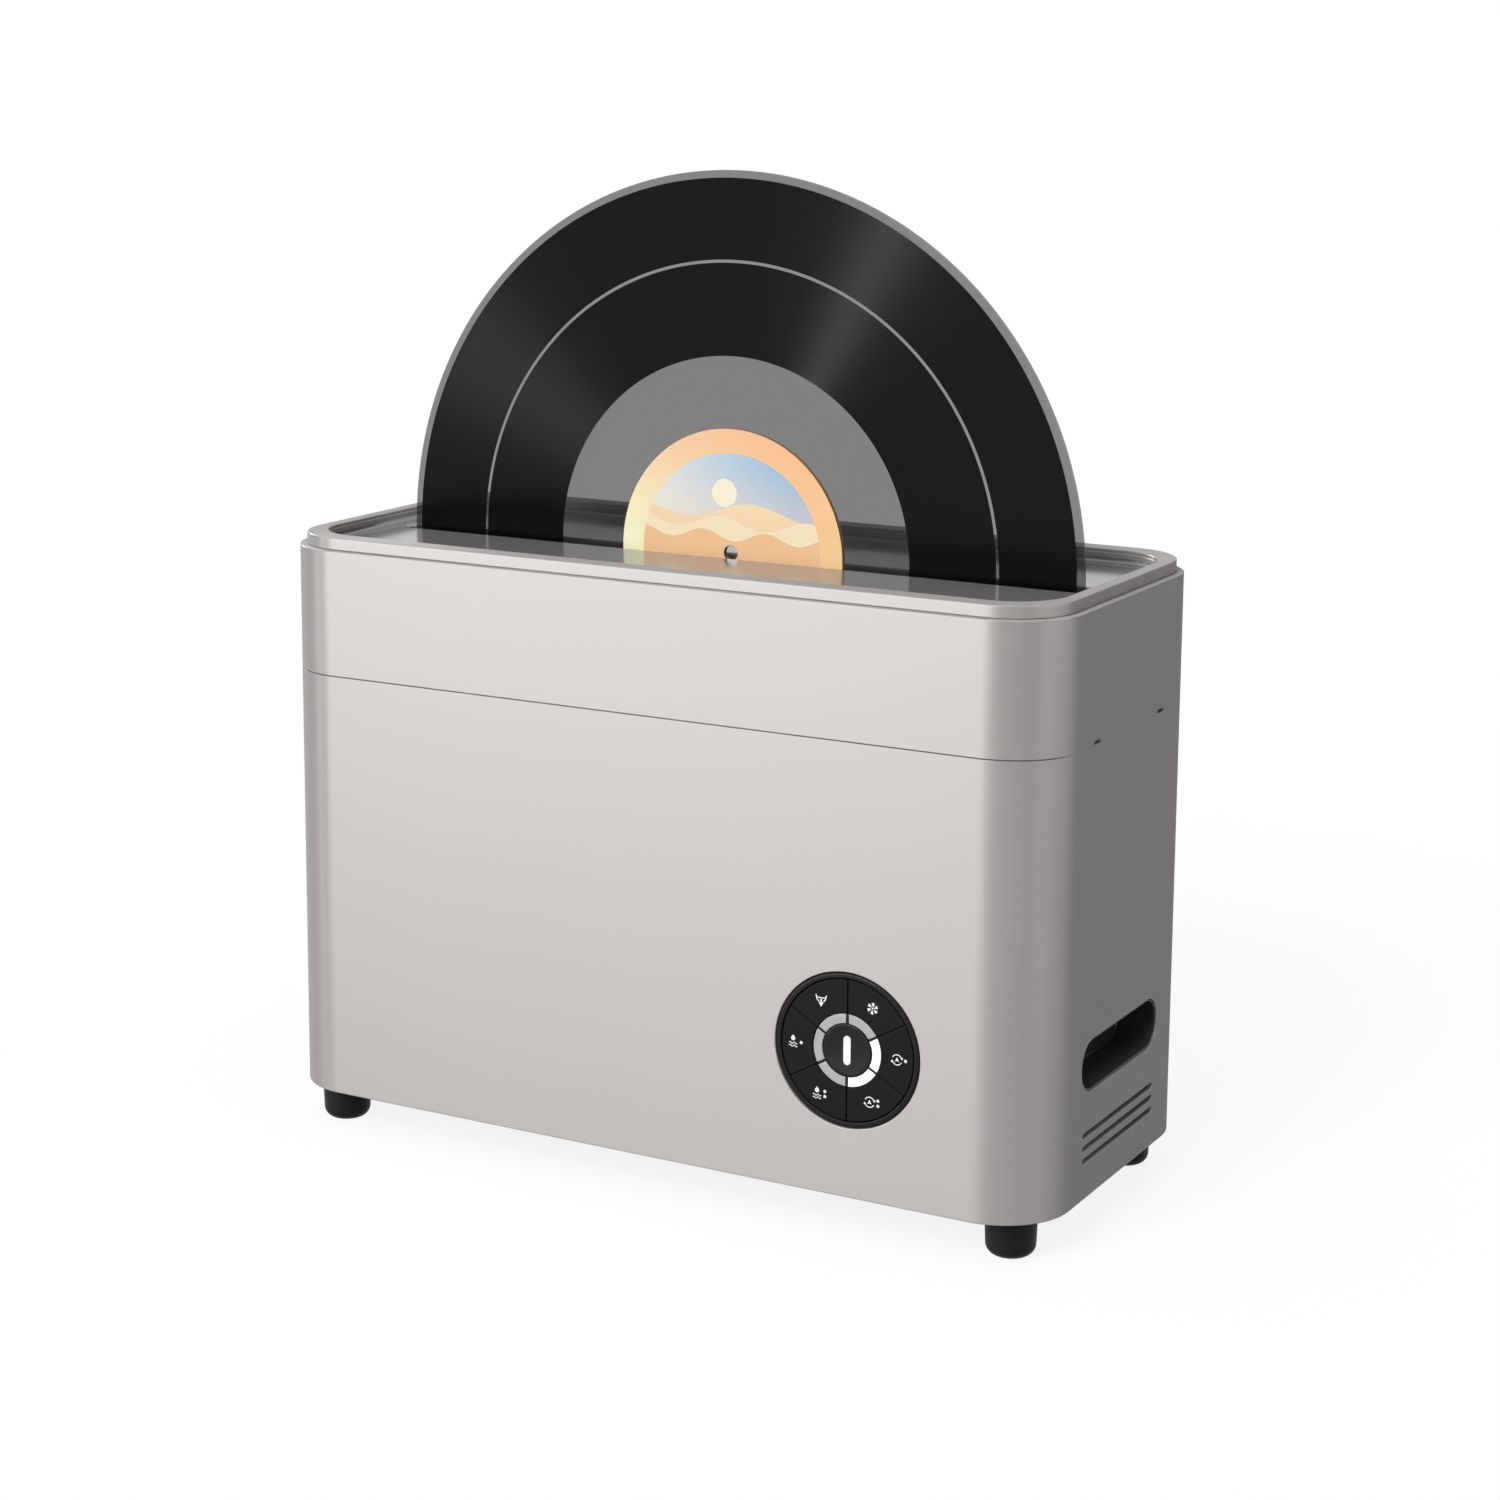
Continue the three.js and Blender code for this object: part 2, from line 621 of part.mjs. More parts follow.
// Four rubber feet
function foot() {
  const profile = [[0, 0]];
  for (let step = 0; step <= ROUND_STEPS; step += 1) {
    const angle = (step / ROUND_STEPS) * (Math.PI / 2);
    const r = FOOT_RADIUS - FOOT_TAPER - FOOT_ROUND * (1 - Math.sin(angle));
    profile.push([r, FOOT_ROUND * (1 - Math.cos(angle))]);
  }
  profile.push([FOOT_RADIUS, FOOT_HEIGHT], [0, FOOT_HEIGHT]);
  return turnedZ(profile, 2 * CIRCLE_SEGMENTS);
}
const footPlaces = {
  foot_front_left: [-FOOT_X, -FOOT_Y],
  foot_front_right: [FOOT_X, -FOOT_Y],
  foot_rear_right: [FOOT_X, FOOT_Y],
  foot_rear_left: [-FOOT_X, FOOT_Y],
};
for (const [name, [x, y]] of Object.entries(footPlaces)) {
  piece(name, foot(), rubber).position.set(x, y, 0);
}

// Lift-off cover: painted band with a rounded shoulder
function pryNotches() {
  return [-1, 1].flatMap((side) =>
    [-1, 1].map((end) =>
      block(
        side * HALF_WIDTH - OVERRUN - TONGUE_WALL / 2,
        side * HALF_WIDTH + OVERRUN + TONGUE_WALL / 2,
        end * NOTCH_Y - NOTCH_WIDTH / 2,
        end * NOTCH_Y + NOTCH_WIDTH / 2,
        SEAM_Z,
        UPPER_BOTTOM_Z + NOTCH_HEIGHT,
      ),
    ),
  );
}

function upperCasing() {
  const outside = stack([[UPPER_BOTTOM_Z, 0], ...edgeRound(CASING_TOP_Z, -1, EDGE_ROUND, 0).reverse()]);
  const rebateInset = WALL - TONGUE_WALL - CLEARANCE;
  const rebateZ = SEAM_Z + TONGUE_HEIGHT + CLEARANCE;
  const inside = stack([
    [UPPER_BOTTOM_Z - OVERRUN, rebateInset],
    [rebateZ, rebateInset],
    [rebateZ, WALL],
    [CASING_TOP_Z - FLANGE_THICKNESS, WALL],
    [CASING_TOP_Z - FLANGE_THICKNESS, FLANGE_WIDTH],
    [CASING_TOP_Z + OVERRUN, FLANGE_WIDTH],
  ]);
  return cut(outside, inside, ...pryNotches());
}
piece("upper_casing", upperCasing(), silverPaint);

// Lift-off cover: rim, sunk tray, and the slot with its splash skirt
function trayOutside() {
  const seat = CASING_TOP_Z + CLEARANCE;
  const inner = FLANGE_WIDTH + CLEARANCE;
  return stack([
    [TRAY_UNDER_Z, inner],
    [seat, inner],
    [seat, RIM_INSET],
    ...edgeRound(TOP_Z, -1, RIM_ROUND, RIM_INSET).reverse(),
  ]);
}

function trayHollow() {
  const width = BODY_WIDTH - 2 * (RIM_INSET + RIM_SIDE);
  const depth = BODY_DEPTH - 2 * (RIM_INSET + RIM_FRONT);
  const levels = [...edgeRound(TRAY_Z, 1, TRAY_FILLET, 0), [TOP_Z - RIM_ROUND, 0]];
  const lip = edgeRound(TOP_Z, -1, RIM_ROUND, -RIM_ROUND).reverse();
  const flare = lip.map(([z, inset]) => [z, -RIM_ROUND - inset]);
  return stack([...levels, ...flare.slice(1), [TOP_Z + OVERRUN, -RIM_ROUND]], width, depth, TRAY_CORNER);
}

function slotStack(levels) {
  return stack(levels, 2 * SLOT_HALF_LENGTH, SLOT_WIDTH, SLOT_WIDTH / 2 - CLEARANCE, SLOT_STEPS);
}

function topTray() {
  const plate = cut(trayOutside(), trayHollow());
  const skirt = slotStack([
    [TRAY_UNDER_Z - SKIRT_DEPTH, -SKIRT_WALL],
    [TRAY_Z - TRAY_FLOOR / 2, -SKIRT_WALL],
  ]);
  const lip = edgeRound(TRAY_Z, -1, SLOT_ROUND, -SLOT_ROUND).reverse();
  const flare = lip.map(([z, inset]) => [z, -SLOT_ROUND - inset]);
  const slot = slotStack([
    [TRAY_UNDER_Z - SKIRT_DEPTH - OVERRUN, 0],
    ...flare,
    [TRAY_Z + OVERRUN, -SLOT_ROUND],
  ]);
  return cut(join(plate, skirt), slot);
}
piece("top_tray", topTray(), darkGloss);

// Basin: a narrow trough with sloped ends that hangs on its flange
function basinOutline(inset, top) {
  const side = BASIN_HALF_LENGTH + BASIN_WALL - inset;
  const flat = BASIN_FLAT_HALF + BASIN_WALL / 2 - inset / 2;
  const low = BASIN_FLOOR_Z - BASIN_WALL + inset;
  return polygon([
    [-side, top],
    [-side, BASIN_SLOPE_Z],
    [-flat, low],
    [flat, low],
    [side, BASIN_SLOPE_Z],
    [side, top],
  ]);
}

const SPOUT_RADIUS = 5;
const SPOUT_WALL = 1.2;
const HOSE_END_Z = BASIN_FLOOR_Z + HOSE_OVER_BASIN;

function washBasin() {
  const top = DECK_Z + BASIN_FLANGE_THICKNESS;
  const flange = roundedRectangle(
    2 * (BASIN_HALF_LENGTH + BASIN_WALL + BASIN_FLANGE),
    2 * (BASIN_OUTER_Y + BASIN_FLANGE),
    BASIN_FLANGE,
  );
  const trough = prismY(basinOutline(0, top), -BASIN_OUTER_Y, BASIN_OUTER_Y);
  const hollow = prismY(basinOutline(BASIN_WALL, top + OVERRUN), -BASIN_HALF_DEPTH, BASIN_HALF_DEPTH);
  const wall = [BASIN_HALF_DEPTH - OVERRUN, BASIN_OUTER_Y + OVERRUN];
  const bushHole = rodY(SHAFT_RADIUS + BUSH_WALL + CLEARANCE, ...wall);
  const hoseHole = rodY(HOSE_RADIUS / 2, ...wall, CIRCLE_SEGMENTS);
  return cut(
    join(trough, prismZ(flange, DECK_Z, top)),
    hollow,
    bushHole.clone().translate(ROLLER_X, 0, ROLLER_Z),
    bushHole.clone().translate(-ROLLER_X, 0, ROLLER_Z),
    hoseHole.translate(PUMP_X, 0, HOSE_END_Z),
    rodZ(SPOUT_RADIUS + CLEARANCE, BASIN_FLOOR_Z - BASIN_WALL - OVERRUN, BASIN_FLOOR_Z + OVERRUN),
  );
}
piece("wash_basin", washBasin(), steel);

// Drain: a flanged spout through the basin floor, and the rubber plug on it
const SPOUT_FLANGE = 2;
const SPOUT_RIM = 0.8;
const SPOUT_TOP_Z = BASIN_FLOOR_Z + CLEARANCE + SPOUT_RIM;
const PLUG_THICKNESS = 0.8;

function drainSpout() {
  const bore = SPOUT_RADIUS - SPOUT_WALL;
  const low = TANK_TOP_Z + CLEARANCE;
  return turnedZ([
    [bore, low],
    [SPOUT_RADIUS, low],
    [SPOUT_RADIUS, BASIN_FLOOR_Z + CLEARANCE],
    [SPOUT_RADIUS + SPOUT_FLANGE, BASIN_FLOOR_Z + CLEARANCE],
    [SPOUT_RADIUS + SPOUT_FLANGE, SPOUT_TOP_Z],
    [bore, SPOUT_TOP_Z],
    [bore, low],
  ], CIRCLE_SEGMENTS * 2);
}
piece("drain_spout", drainSpout(), blackPlastic);

function drainPlug() {
  const stem = SPOUT_RADIUS - SPOUT_WALL - CLEARANCE;
  const seat = SPOUT_TOP_Z + CLEARANCE;
  return turnedZ([
    [0, BASIN_FLOOR_Z - BASIN_WALL],
    [stem, BASIN_FLOOR_Z - BASIN_WALL],
    [stem, seat],
    [SPOUT_RADIUS, seat],
    [SPOUT_RADIUS, seat + PLUG_THICKNESS],
    [0, seat + PLUG_THICKNESS],
  ]);
}
piece("drain_plug", drainPlug(), rubber);

// Rollers: grooved rubber wheels on steel shafts, in bushes through the rear wall of the basin
const GROOVE_HALF = RECORD_THICKNESS / 2 + CLEARANCE + CLEARANCE / 2;

function roller() {
  const bore = SHAFT_RADIUS + CLEARANCE;
  const flare = (ROLLER_FLANGE_RADIUS - ROLLER_GROOVE_RADIUS) / 2;
  return turnedY([
    [bore, -ROLLER_HALF_WIDTH],
    [ROLLER_FLANGE_RADIUS, -ROLLER_HALF_WIDTH],
    [ROLLER_FLANGE_RADIUS, -GROOVE_HALF - flare],
    [ROLLER_GROOVE_RADIUS, -GROOVE_HALF],
    [ROLLER_GROOVE_RADIUS, GROOVE_HALF],
    [ROLLER_FLANGE_RADIUS, GROOVE_HALF + flare],
    [ROLLER_FLANGE_RADIUS, ROLLER_HALF_WIDTH],
    [bore, ROLLER_HALF_WIDTH],
    [bore, -ROLLER_HALF_WIDTH],
  ], 2 * CIRCLE_SEGMENTS);
}

function bush() {
  const bore = SHAFT_RADIUS + CLEARANCE;
  const sleeve = SHAFT_RADIUS + BUSH_WALL;
  const collar = BASIN_HALF_DEPTH - CLEARANCE;
  return turnedY([
    [bore, collar - BASIN_WALL],
    [sleeve + BUSH_FLANGE, collar - BASIN_WALL],
    [sleeve + BUSH_FLANGE, collar],
    [sleeve, collar],
    [sleeve, BASIN_OUTER_Y + BUSH_LENGTH],
    [bore, BASIN_OUTER_Y + BUSH_LENGTH],
    [bore, collar - BASIN_WALL],
  ], 2 * CIRCLE_SEGMENTS);
}

function gear(teeth, bore, from, to, phaseShare = 0) {
  const pitch = (TOOTH_SIZE * teeth) / 2;
  const tip = pitch + TOOTH_SIZE;
  const root = pitch - TOOTH_SIZE - ROOT_CLEARANCE;
  const flankShares = [[root, 0.17], [tip, 0.39], [tip, 0.61], [root, 0.83]];
  const outline = [];
  for (let tooth = 0; tooth < teeth; tooth += 1) {
    for (const [radius, share] of flankShares) {
      const angle = ((tooth + share + phaseShare) / teeth) * 2 * Math.PI;
      outline.push([radius * Math.cos(angle), radius * Math.sin(angle)]);
    }
  }
  return cut(prismY(polygon(outline), from, to), rodY(bore, from - OVERRUN, to + OVERRUN, CIRCLE_SEGMENTS));
}

const SHAFT_FRONT = -ROLLER_HALF_WIDTH - CLEARANCE;
const DRIVE_SHAFT_END = BRACKET_Y + BRACKET_THICKNESS;
const IDLER_SHAFT_END = BASIN_OUTER_Y + BUSH_LENGTH + BUSH_FLANGE;
const gearAxis = new THREE.Group();
gearAxis.position.set(ROLLER_X, 0, ROLLER_Z);
const idlerAxis = new THREE.Group();
idlerAxis.position.set(-ROLLER_X, 0, ROLLER_Z);
const pinionAxis = new THREE.Group();
pinionAxis.position.set(ROLLER_X, 0, MOTOR_Z);
machine.add(gearAxis, idlerAxis, pinionAxis);

piece("drive_roller", roller(), rubber, gearAxis);
piece("idler_roller", roller(), rubber, idlerAxis);
piece("drive_bush", bush(), brass, gearAxis);
piece("idler_bush", bush(), brass, idlerAxis);
const shaftTo = (end) => rodY(SHAFT_RADIUS, SHAFT_FRONT, end, 2 * CIRCLE_SEGMENTS);
piece("drive_shaft", shaftTo(DRIVE_SHAFT_END), steel, gearAxis);
piece("idler_shaft", shaftTo(IDLER_SHAFT_END), steel, idlerAxis);
const driveGear = gear(DRIVE_TEETH, SHAFT_RADIUS + CLEARANCE, GEAR_FRONT, GEAR_FRONT + GEAR_WIDTH);
piece("drive_gear", driveGear, brass, gearAxis);

// Motor: its pinion is cut on its own shaft, half a tooth round from the gear's teeth
const PINION_PHASE_SHARE = 0.5;

function motorPinion() {
  const from = GEAR_FRONT;
  const to = GEAR_FRONT + GEAR_WIDTH;
  const wheel = gear(PINION_TEETH, PINION_SHAFT_RADIUS / 2, from, to, PINION_PHASE_SHARE);
  const shaft = rodY(PINION_SHAFT_RADIUS, from, BRACKET_Y + 2 * BRACKET_THICKNESS, CIRCLE_SEGMENTS);
  return join(wheel, shaft);
}
piece("motor_pinion", motorPinion(), brass, pinionAxis);

function gearMotor() {
  const from = BRACKET_Y + CLEARANCE;
  const joint = from + MOTOR_GEARBOX;
  const to = HALF_DEPTH - WALL - MOTOR_TO_WALL;
  const canRadius = MOTOR_RADIUS - BUSH_FLANGE / 2;
  const bore = PINION_SHAFT_RADIUS + CLEARANCE;
  return turnedY([
    [0, from + 2 * BRACKET_THICKNESS],
    [bore, from + 2 * BRACKET_THICKNESS],
    [bore, from],
    [MOTOR_RADIUS, from],
    [MOTOR_RADIUS, joint],
    [canRadius, joint],
    [canRadius, to],
    [BUSH_FLANGE, to],
    [BUSH_FLANGE, to + BUSH_FLANGE],
    [0, to + BUSH_FLANGE],
  ]);
}
piece("gear_motor", gearMotor(), steel, pinionAxis);

function motorBracket() {
  const top = LEDGE_Z - CLEARANCE;
  const from = GEAR_FRONT + GEAR_WIDTH + CLEARANCE;
  const left = ROLLER_X - BRACKET_MARGIN;
  const right = ROLLER_X + BRACKET_MARGIN;
  const low = ROLLER_Z - BRACKET_MARGIN / 2;
  const plate = block(left, right, from, BRACKET_Y, low, top);
  const flange = block(left, right, from, BRACKET_Y + BRACKET_FLANGE, top - BRACKET_THICKNESS, top);
  const shaftHole = rodY(SHAFT_RADIUS + CLEARANCE, from - OVERRUN, BRACKET_Y + OVERRUN, 2 * CIRCLE_SEGMENTS);
  const pinionHole = rodY(2 * PINION_SHAFT_RADIUS, from - OVERRUN, BRACKET_Y + OVERRUN, 2 * CIRCLE_SEGMENTS);
  return cut(
    join(plate, flange),
    shaftHole.translate(ROLLER_X, 0, ROLLER_Z),
    pinionHole.translate(ROLLER_X, 0, MOTOR_Z),
  );
}
piece("motor_bracket", motorBracket(), steel);

// Deck under the cover, with the basin opening and one air duct on each side
const OUTLET_RIGHT = BLOWER_X + VOLUTE_MAX;
const OUTLET_LEFT = OUTLET_RIGHT - OUTLET_WIDTH;
const DUCT_NEAR = BLOWER_NEAR + BLOWER_WALL;
const DUCT_FAR = NOZZLE_FOOT_OUTER - NOZZLE_WALL;

function innerDeck() {
  const plate = stack([[LEDGE_Z, WALL + CLEARANCE], [DECK_Z, WALL + CLEARANCE]]);
  const x = BASIN_HALF_LENGTH + BASIN_WALL + CLEARANCE;
  const y = BASIN_OUTER_Y + CLEARANCE;
  const basinHole = block(-x, x, -y, y, LEDGE_Z - OVERRUN, DECK_Z + OVERRUN);
  const ducts = [-1, 1].map((side) => {
    const [from, to] = span(side, DUCT_NEAR, DUCT_FAR);
    const [left, right] = [OUTLET_LEFT + BLOWER_WALL, OUTLET_RIGHT - BLOWER_WALL];
    return block(left, right, from, to, LEDGE_Z - OVERRUN, DECK_Z + OVERRUN);
  });
  return cut(plate, basinHole, ...ducts);
}
piece("inner_deck", innerDeck(), greyPlastic);

// Blowers: a volute that opens upwards, a cover with the inlet, and a bladed wheel
function voluteOutline(inset, top) {
  const right = VOLUTE_MAX - inset;
  const left = VOLUTE_MAX - OUTLET_WIDTH + inset;
  const start = Math.acos(left / (VOLUTE_MIN - inset));
  const points = [[right, top], [left, top]];
  const turns = 2 * CIRCLE_SEGMENTS;
  for (let step = 0; step <= turns; step += 1) {
    const share = step / turns;
    const angle = start + share * (2 * Math.PI - start);
    const radius = VOLUTE_MIN - inset + share * (VOLUTE_MAX - VOLUTE_MIN);
    points.push([radius * Math.cos(angle), radius * Math.sin(angle)]);
  }
  return polygon(points);
}

const BLOWER_TOP = LEDGE_Z - CLEARANCE - BLOWER_Z;
const BLOWER_FAR = BLOWER_NEAR + BLOWER_WIDTH;

function blowerHousing(side) {
  const outside = prismY(voluteOutline(0, BLOWER_TOP), ...span(side, BLOWER_NEAR, BLOWER_FAR));
  const inside = prismY(
    voluteOutline(BLOWER_WALL, BLOWER_TOP + OVERRUN),
    ...span(side, BLOWER_NEAR + BLOWER_WALL, BLOWER_FAR + OVERRUN),
  );
  const pinEnd = BLOWER_NEAR + BLOWER_WALL + IMPELLER_WIDTH;
  const pin = rodY(PIN_RADIUS, ...span(side, BLOWER_NEAR, pinEnd), CIRCLE_SEGMENTS);
  return join(cut(outside, inside), pin);
}

function blowerCover(side) {
  const from = BLOWER_FAR + CLEARANCE;
  const to = from + BLOWER_WALL;
  const plate = prismY(voluteOutline(0, BLOWER_TOP), ...span(side, from, to));
  const ring = tubeY(INLET_HOLE, INLET_HOLE + BLOWER_WALL, ...span(side, from, to + BLOWER_WALL));
  return cut(join(plate, ring), rodY(INLET_HOLE, ...span(side, from - OVERRUN, to + 2 * OVERRUN)));
}

function impeller(side) {
  const near = BLOWER_NEAR + BLOWER_WALL + OVERRUN;
  const far = near + IMPELLER_WIDTH;
  const plate = rodY(IMPELLER_RADIUS, ...span(side, near, near + IMPELLER_PLATE));
  const hub = rodY(IMPELLER_HUB, ...span(side, near, near + IMPELLER_WIDTH * HUB_SHARE));
  const rimInner = IMPELLER_RADIUS - BLADE_LENGTH / 3;
  const rim = tubeY(rimInner, IMPELLER_RADIUS, ...span(side, far - IMPELLER_PLATE, far));
  const [from, to] = span(side, near + IMPELLER_PLATE / 2, far - IMPELLER_PLATE / 2);
  const blades = [];
  for (let i = 0; i < IMPELLER_BLADES; i += 1) {
    const half = BLADE_THICKNESS / 2;
    const blade = block(-BLADE_LENGTH / 2, BLADE_LENGTH / 2, from, to, -half, half);
    blade.rotateY(BLADE_LEAN).translate(IMPELLER_RADIUS - BLADE_LENGTH / 2 - half, 0, 0);
    blades.push(blade.rotateY((i / IMPELLER_BLADES) * 2 * Math.PI));
  }
  const through = span(side, near - OVERRUN, far + OVERRUN);
  const pinHole = rodY(PIN_RADIUS + CLEARANCE, ...through, CIRCLE_SEGMENTS);
  return cut(join(plate, hub, rim, ...blades), pinHole);
}

// Air nozzles: hollow bars that stand on the deck, each with a slit that faces the record
function nozzleProfile(inset) {
  const foot = BASIN_OUTER_Y + BASIN_FLANGE + CLEARANCE;
  const far = NOZZLE_FOOT_OUTER - inset;
  const near = NOZZLE_FACE + inset;
  const heel = Math.max(foot + inset, near);
  const top = NOZZLE_HEIGHT - inset;
  return [
    [heel, inset > 0 ? -OVERRUN : 0],
    [heel, NOZZLE_RISE],
    [near, 2 * NOZZLE_RISE + inset],
    [near, top - 2 * NOZZLE_RISE],
    [near + 2 * NOZZLE_RISE, top],
    [far, top],
    [far, inset > 0 ? -OVERRUN : 0],
  ];
}

function nozzleBar(side) {
  const outline = (inset) => polygon(nozzleProfile(inset).map(([y, z]) => [side * y, DECK_Z + z]));
  const slitZ = DECK_Z + NOZZLE_HEIGHT / 2;
  const [from, to] = span(side, NOZZLE_FACE - OVERRUN, NOZZLE_FACE + NOZZLE_WALL + OVERRUN);
  const slitEnd = NOZZLE_HALF_LENGTH - 2 * NOZZLE_WALL;
  const slit = block(-slitEnd, slitEnd, from, to, slitZ - NOZZLE_SLIT / 2, slitZ + NOZZLE_SLIT / 2);
  const hollowEnd = NOZZLE_HALF_LENGTH - NOZZLE_WALL;
  return cut(
    prismX(outline(0), -NOZZLE_HALF_LENGTH, NOZZLE_HALF_LENGTH),
    prismX(outline(NOZZLE_WALL), -hollowEnd, hollowEnd),
    slit,
  );
}

for (const [label, side] of [["front", -1], ["rear", 1]]) {
  const blowerAxis = new THREE.Group();
  blowerAxis.position.set(BLOWER_X, 0, BLOWER_Z);
  machine.add(blowerAxis);
  piece(`blower_housing_${label}`, blowerHousing(side), blackPlastic, blowerAxis);
  piece(`blower_cover_${label}`, blowerCover(side), blackPlastic, blowerAxis);
  piece(`impeller_${label}`, impeller(side), greyPlastic, blowerAxis);
  piece(`air_nozzle_${label}`, nozzleBar(side), blackPlastic);
}

// Air filter behind the rear grille
const FOAM_THICKNESS = 3;
const FOAM_MARGIN = 3;

function airFilter() {
  const halfWidth = GRILLE_WIDTH / 2 + FOAM_MARGIN;
  const halfHeight = (GRILLE_COUNT * VENT_PITCH) / 2 + FOAM_MARGIN;
  const to = HALF_DEPTH - WALL - CLEARANCE;
  const pad = block(-halfWidth, halfWidth, to - FOAM_THICKNESS, to, -halfHeight, halfHeight);
  return pad.translate(GRILLE_X, 0, BLOWER_Z);
}
piece("air_filter", airFilter(), foam);

// Ultrasonic transducers: a flared head on the basin wall, a ceramic stack and a steel tail
const TRANSDUCER_Z = BASIN_FLOOR_Z + TRANSDUCER_OVER_BASIN;
const HEAD_NEAR = BASIN_OUTER_Y + CLEARANCE;
const HEAD_FAR = HEAD_NEAR + TRANSDUCER_HEAD;
const CONE_SHARE = 0.7;
const CONE_END = HEAD_NEAR + TRANSDUCER_HEAD * CONE_SHARE;
const BOLT_RADIUS = 4;
const BOLT_HEAD = 3;
const ELECTRODE_GAP = 1.5;

function facing(side, profile) {
  return side > 0 ? turnedY(profile) : turnedY(profile.map(([r, y]) => [r, -y]).reverse());
}

function transducerHead(side) {
  return facing(side, [
    [0, HEAD_NEAR],
    [TRANSDUCER_FACE, HEAD_NEAR],
    [TRANSDUCER_NECK, CONE_END],
    [TRANSDUCER_NECK, HEAD_FAR],
    [0, HEAD_FAR],
  ]);
}

function transducerTail(side) {
  const stackFrom = HEAD_FAR + CLEARANCE;
  const waist = TRANSDUCER_NECK - BOLT_HEAD;
  const profile = [[0, stackFrom]];
  const tailFrom = stackFrom + TRANSDUCER_STACK;
  profile.push([TRANSDUCER_NECK, stackFrom], [TRANSDUCER_NECK, tailFrom - ELECTRODE_GAP]);
  profile.push([waist, tailFrom - ELECTRODE_GAP], [waist, tailFrom]);
  const tailTo = HALF_DEPTH - WALL - TRANSDUCER_TO_WALL;
  profile.push([TRANSDUCER_NECK, tailFrom], [TRANSDUCER_NECK, tailTo]);
  profile.push([BOLT_RADIUS, tailTo], [BOLT_RADIUS, tailTo + BOLT_HEAD], [0, tailTo + BOLT_HEAD]);
  return facing(side, profile);
}

for (const [label, side] of [["front", -1], ["rear", 1]]) {
  const transducer = new THREE.Group();
  transducer.position.set(TRANSDUCER_X, 0, TRANSDUCER_Z);
  machine.add(transducer);
  piece(`transducer_head_${label}`, transducerHead(side), aluminium, transducer);
  piece(`transducer_tail_${label}`, transducerTail(side), steel, transducer);
}

// Tank bay: a closed-ended tunnel on the casing's saddles
function tankBay() {
  const to = HALF_WIDTH - WALL - CLEARANCE;
  const capFrom = -TANK_LEFT - CLEARANCE - BAY_WALL;
  const tunnel = prismX(stadium(BAY_OUTER_WIDTH, BAY_OUTER_HEIGHT), capFrom, to);
  const hollow = prismX(stadium(TANK_HOLE_WIDTH, TANK_HOLE_HEIGHT), capFrom + BAY_WALL, to + OVERRUN);
  const inlet = rodZ(INLET_RADIUS, 0, BAY_OUTER_HEIGHT);
  return cut(tunnel, hollow, inlet).translate(0, 0, TANK_Z);
}
piece("tank_bay", tankBay(), blackPlastic);

// Water tank: an open tub, its lid, a sponge and the sunk front that is pulled by hand
function tankSection(inset) {
  const width = TANK_OUTER_WIDTH - 2 * inset;
  return stadium(width, TANK_OUTER_HEIGHT - 2 * inset);
}

const TUB_RIGHT = TANK_FRONT_X - CLEARANCE;
const BEYOND = BODY_WIDTH;

function tankBody() {
  const outside = prismX(tankSection(0), -TANK_LEFT, TUB_RIGHT).translate(0, 0, TANK_Z);
  const inside = prismX(tankSection(TANK_WALL), -TANK_LEFT + TANK_WALL, TUB_RIGHT - TANK_WALL);
  const above = block(-BEYOND, BEYOND, -BEYOND, BEYOND, TANK_LID_Z, TANK_LID_Z + TANK_OUTER_HEIGHT);
  return cut(outside, inside.translate(0, 0, TANK_Z), above);
}
piece("tank_body", tankBody(), clearPlastic);

function tankLid() {
  const outside = prismX(tankSection(0), -TANK_LEFT, TUB_RIGHT).translate(0, 0, TANK_Z);
  const low = TANK_LID_Z + CLEARANCE;
  const below = block(-BEYOND, BEYOND, -BEYOND, BEYOND, low - TANK_OUTER_HEIGHT, low);
  const inlet = rodZ(INLET_RADIUS, TANK_Z, TANK_TOP_Z + OVERRUN);
  return cut(outside, below, inlet);
}
piece("tank_lid", tankLid(), blackPlastic);

function tankFilter() {
  const half = FILTER_SIZE / 2;
  const low = TANK_Z - TANK_OUTER_HEIGHT / 2 + TANK_WALL + CLEARANCE;
  return block(-half, half, -half, half, low, low + FILTER_HEIGHT);
}
piece("tank_filter", tankFilter(), foam);

function tankFront() {
  const outside = prismX(tankSection(0), TANK_FRONT_X, HALF_WIDTH);
  const recess = prismX(tankSection(TANK_FRONT_LIP), TANK_FRONT_X + TANK_FRONT_BACK, HALF_WIDTH + OVERRUN);
  return cut(outside, recess).translate(0, 0, TANK_Z);
}
piece("tank_front", tankFront(), blackGloss);

// Pump on the floor, and the hose that fills the basin
const PUMP_BASE = 3;
const PUMP_NECK = 4;

function waterPump() {
  return turnedZ([
    [0, FLOOR_Z],
    [PUMP_RADIUS + PUMP_BASE / 2, FLOOR_Z],
    [PUMP_RADIUS + PUMP_BASE / 2, FLOOR_Z + PUMP_BASE],
    [PUMP_RADIUS, FLOOR_Z + PUMP_BASE],
    [PUMP_RADIUS, FLOOR_Z + PUMP_HEIGHT],
    [HOSE_RADIUS, FLOOR_Z + PUMP_HEIGHT],
    [HOSE_RADIUS, FLOOR_Z + PUMP_HEIGHT + PUMP_NECK],
    [0, FLOOR_Z + PUMP_HEIGHT + PUMP_NECK],
  ], 2 * CIRCLE_SEGMENTS);
}
piece("water_pump", waterPump(), blackPlastic).position.set(PUMP_X, PUMP_Y, 0);

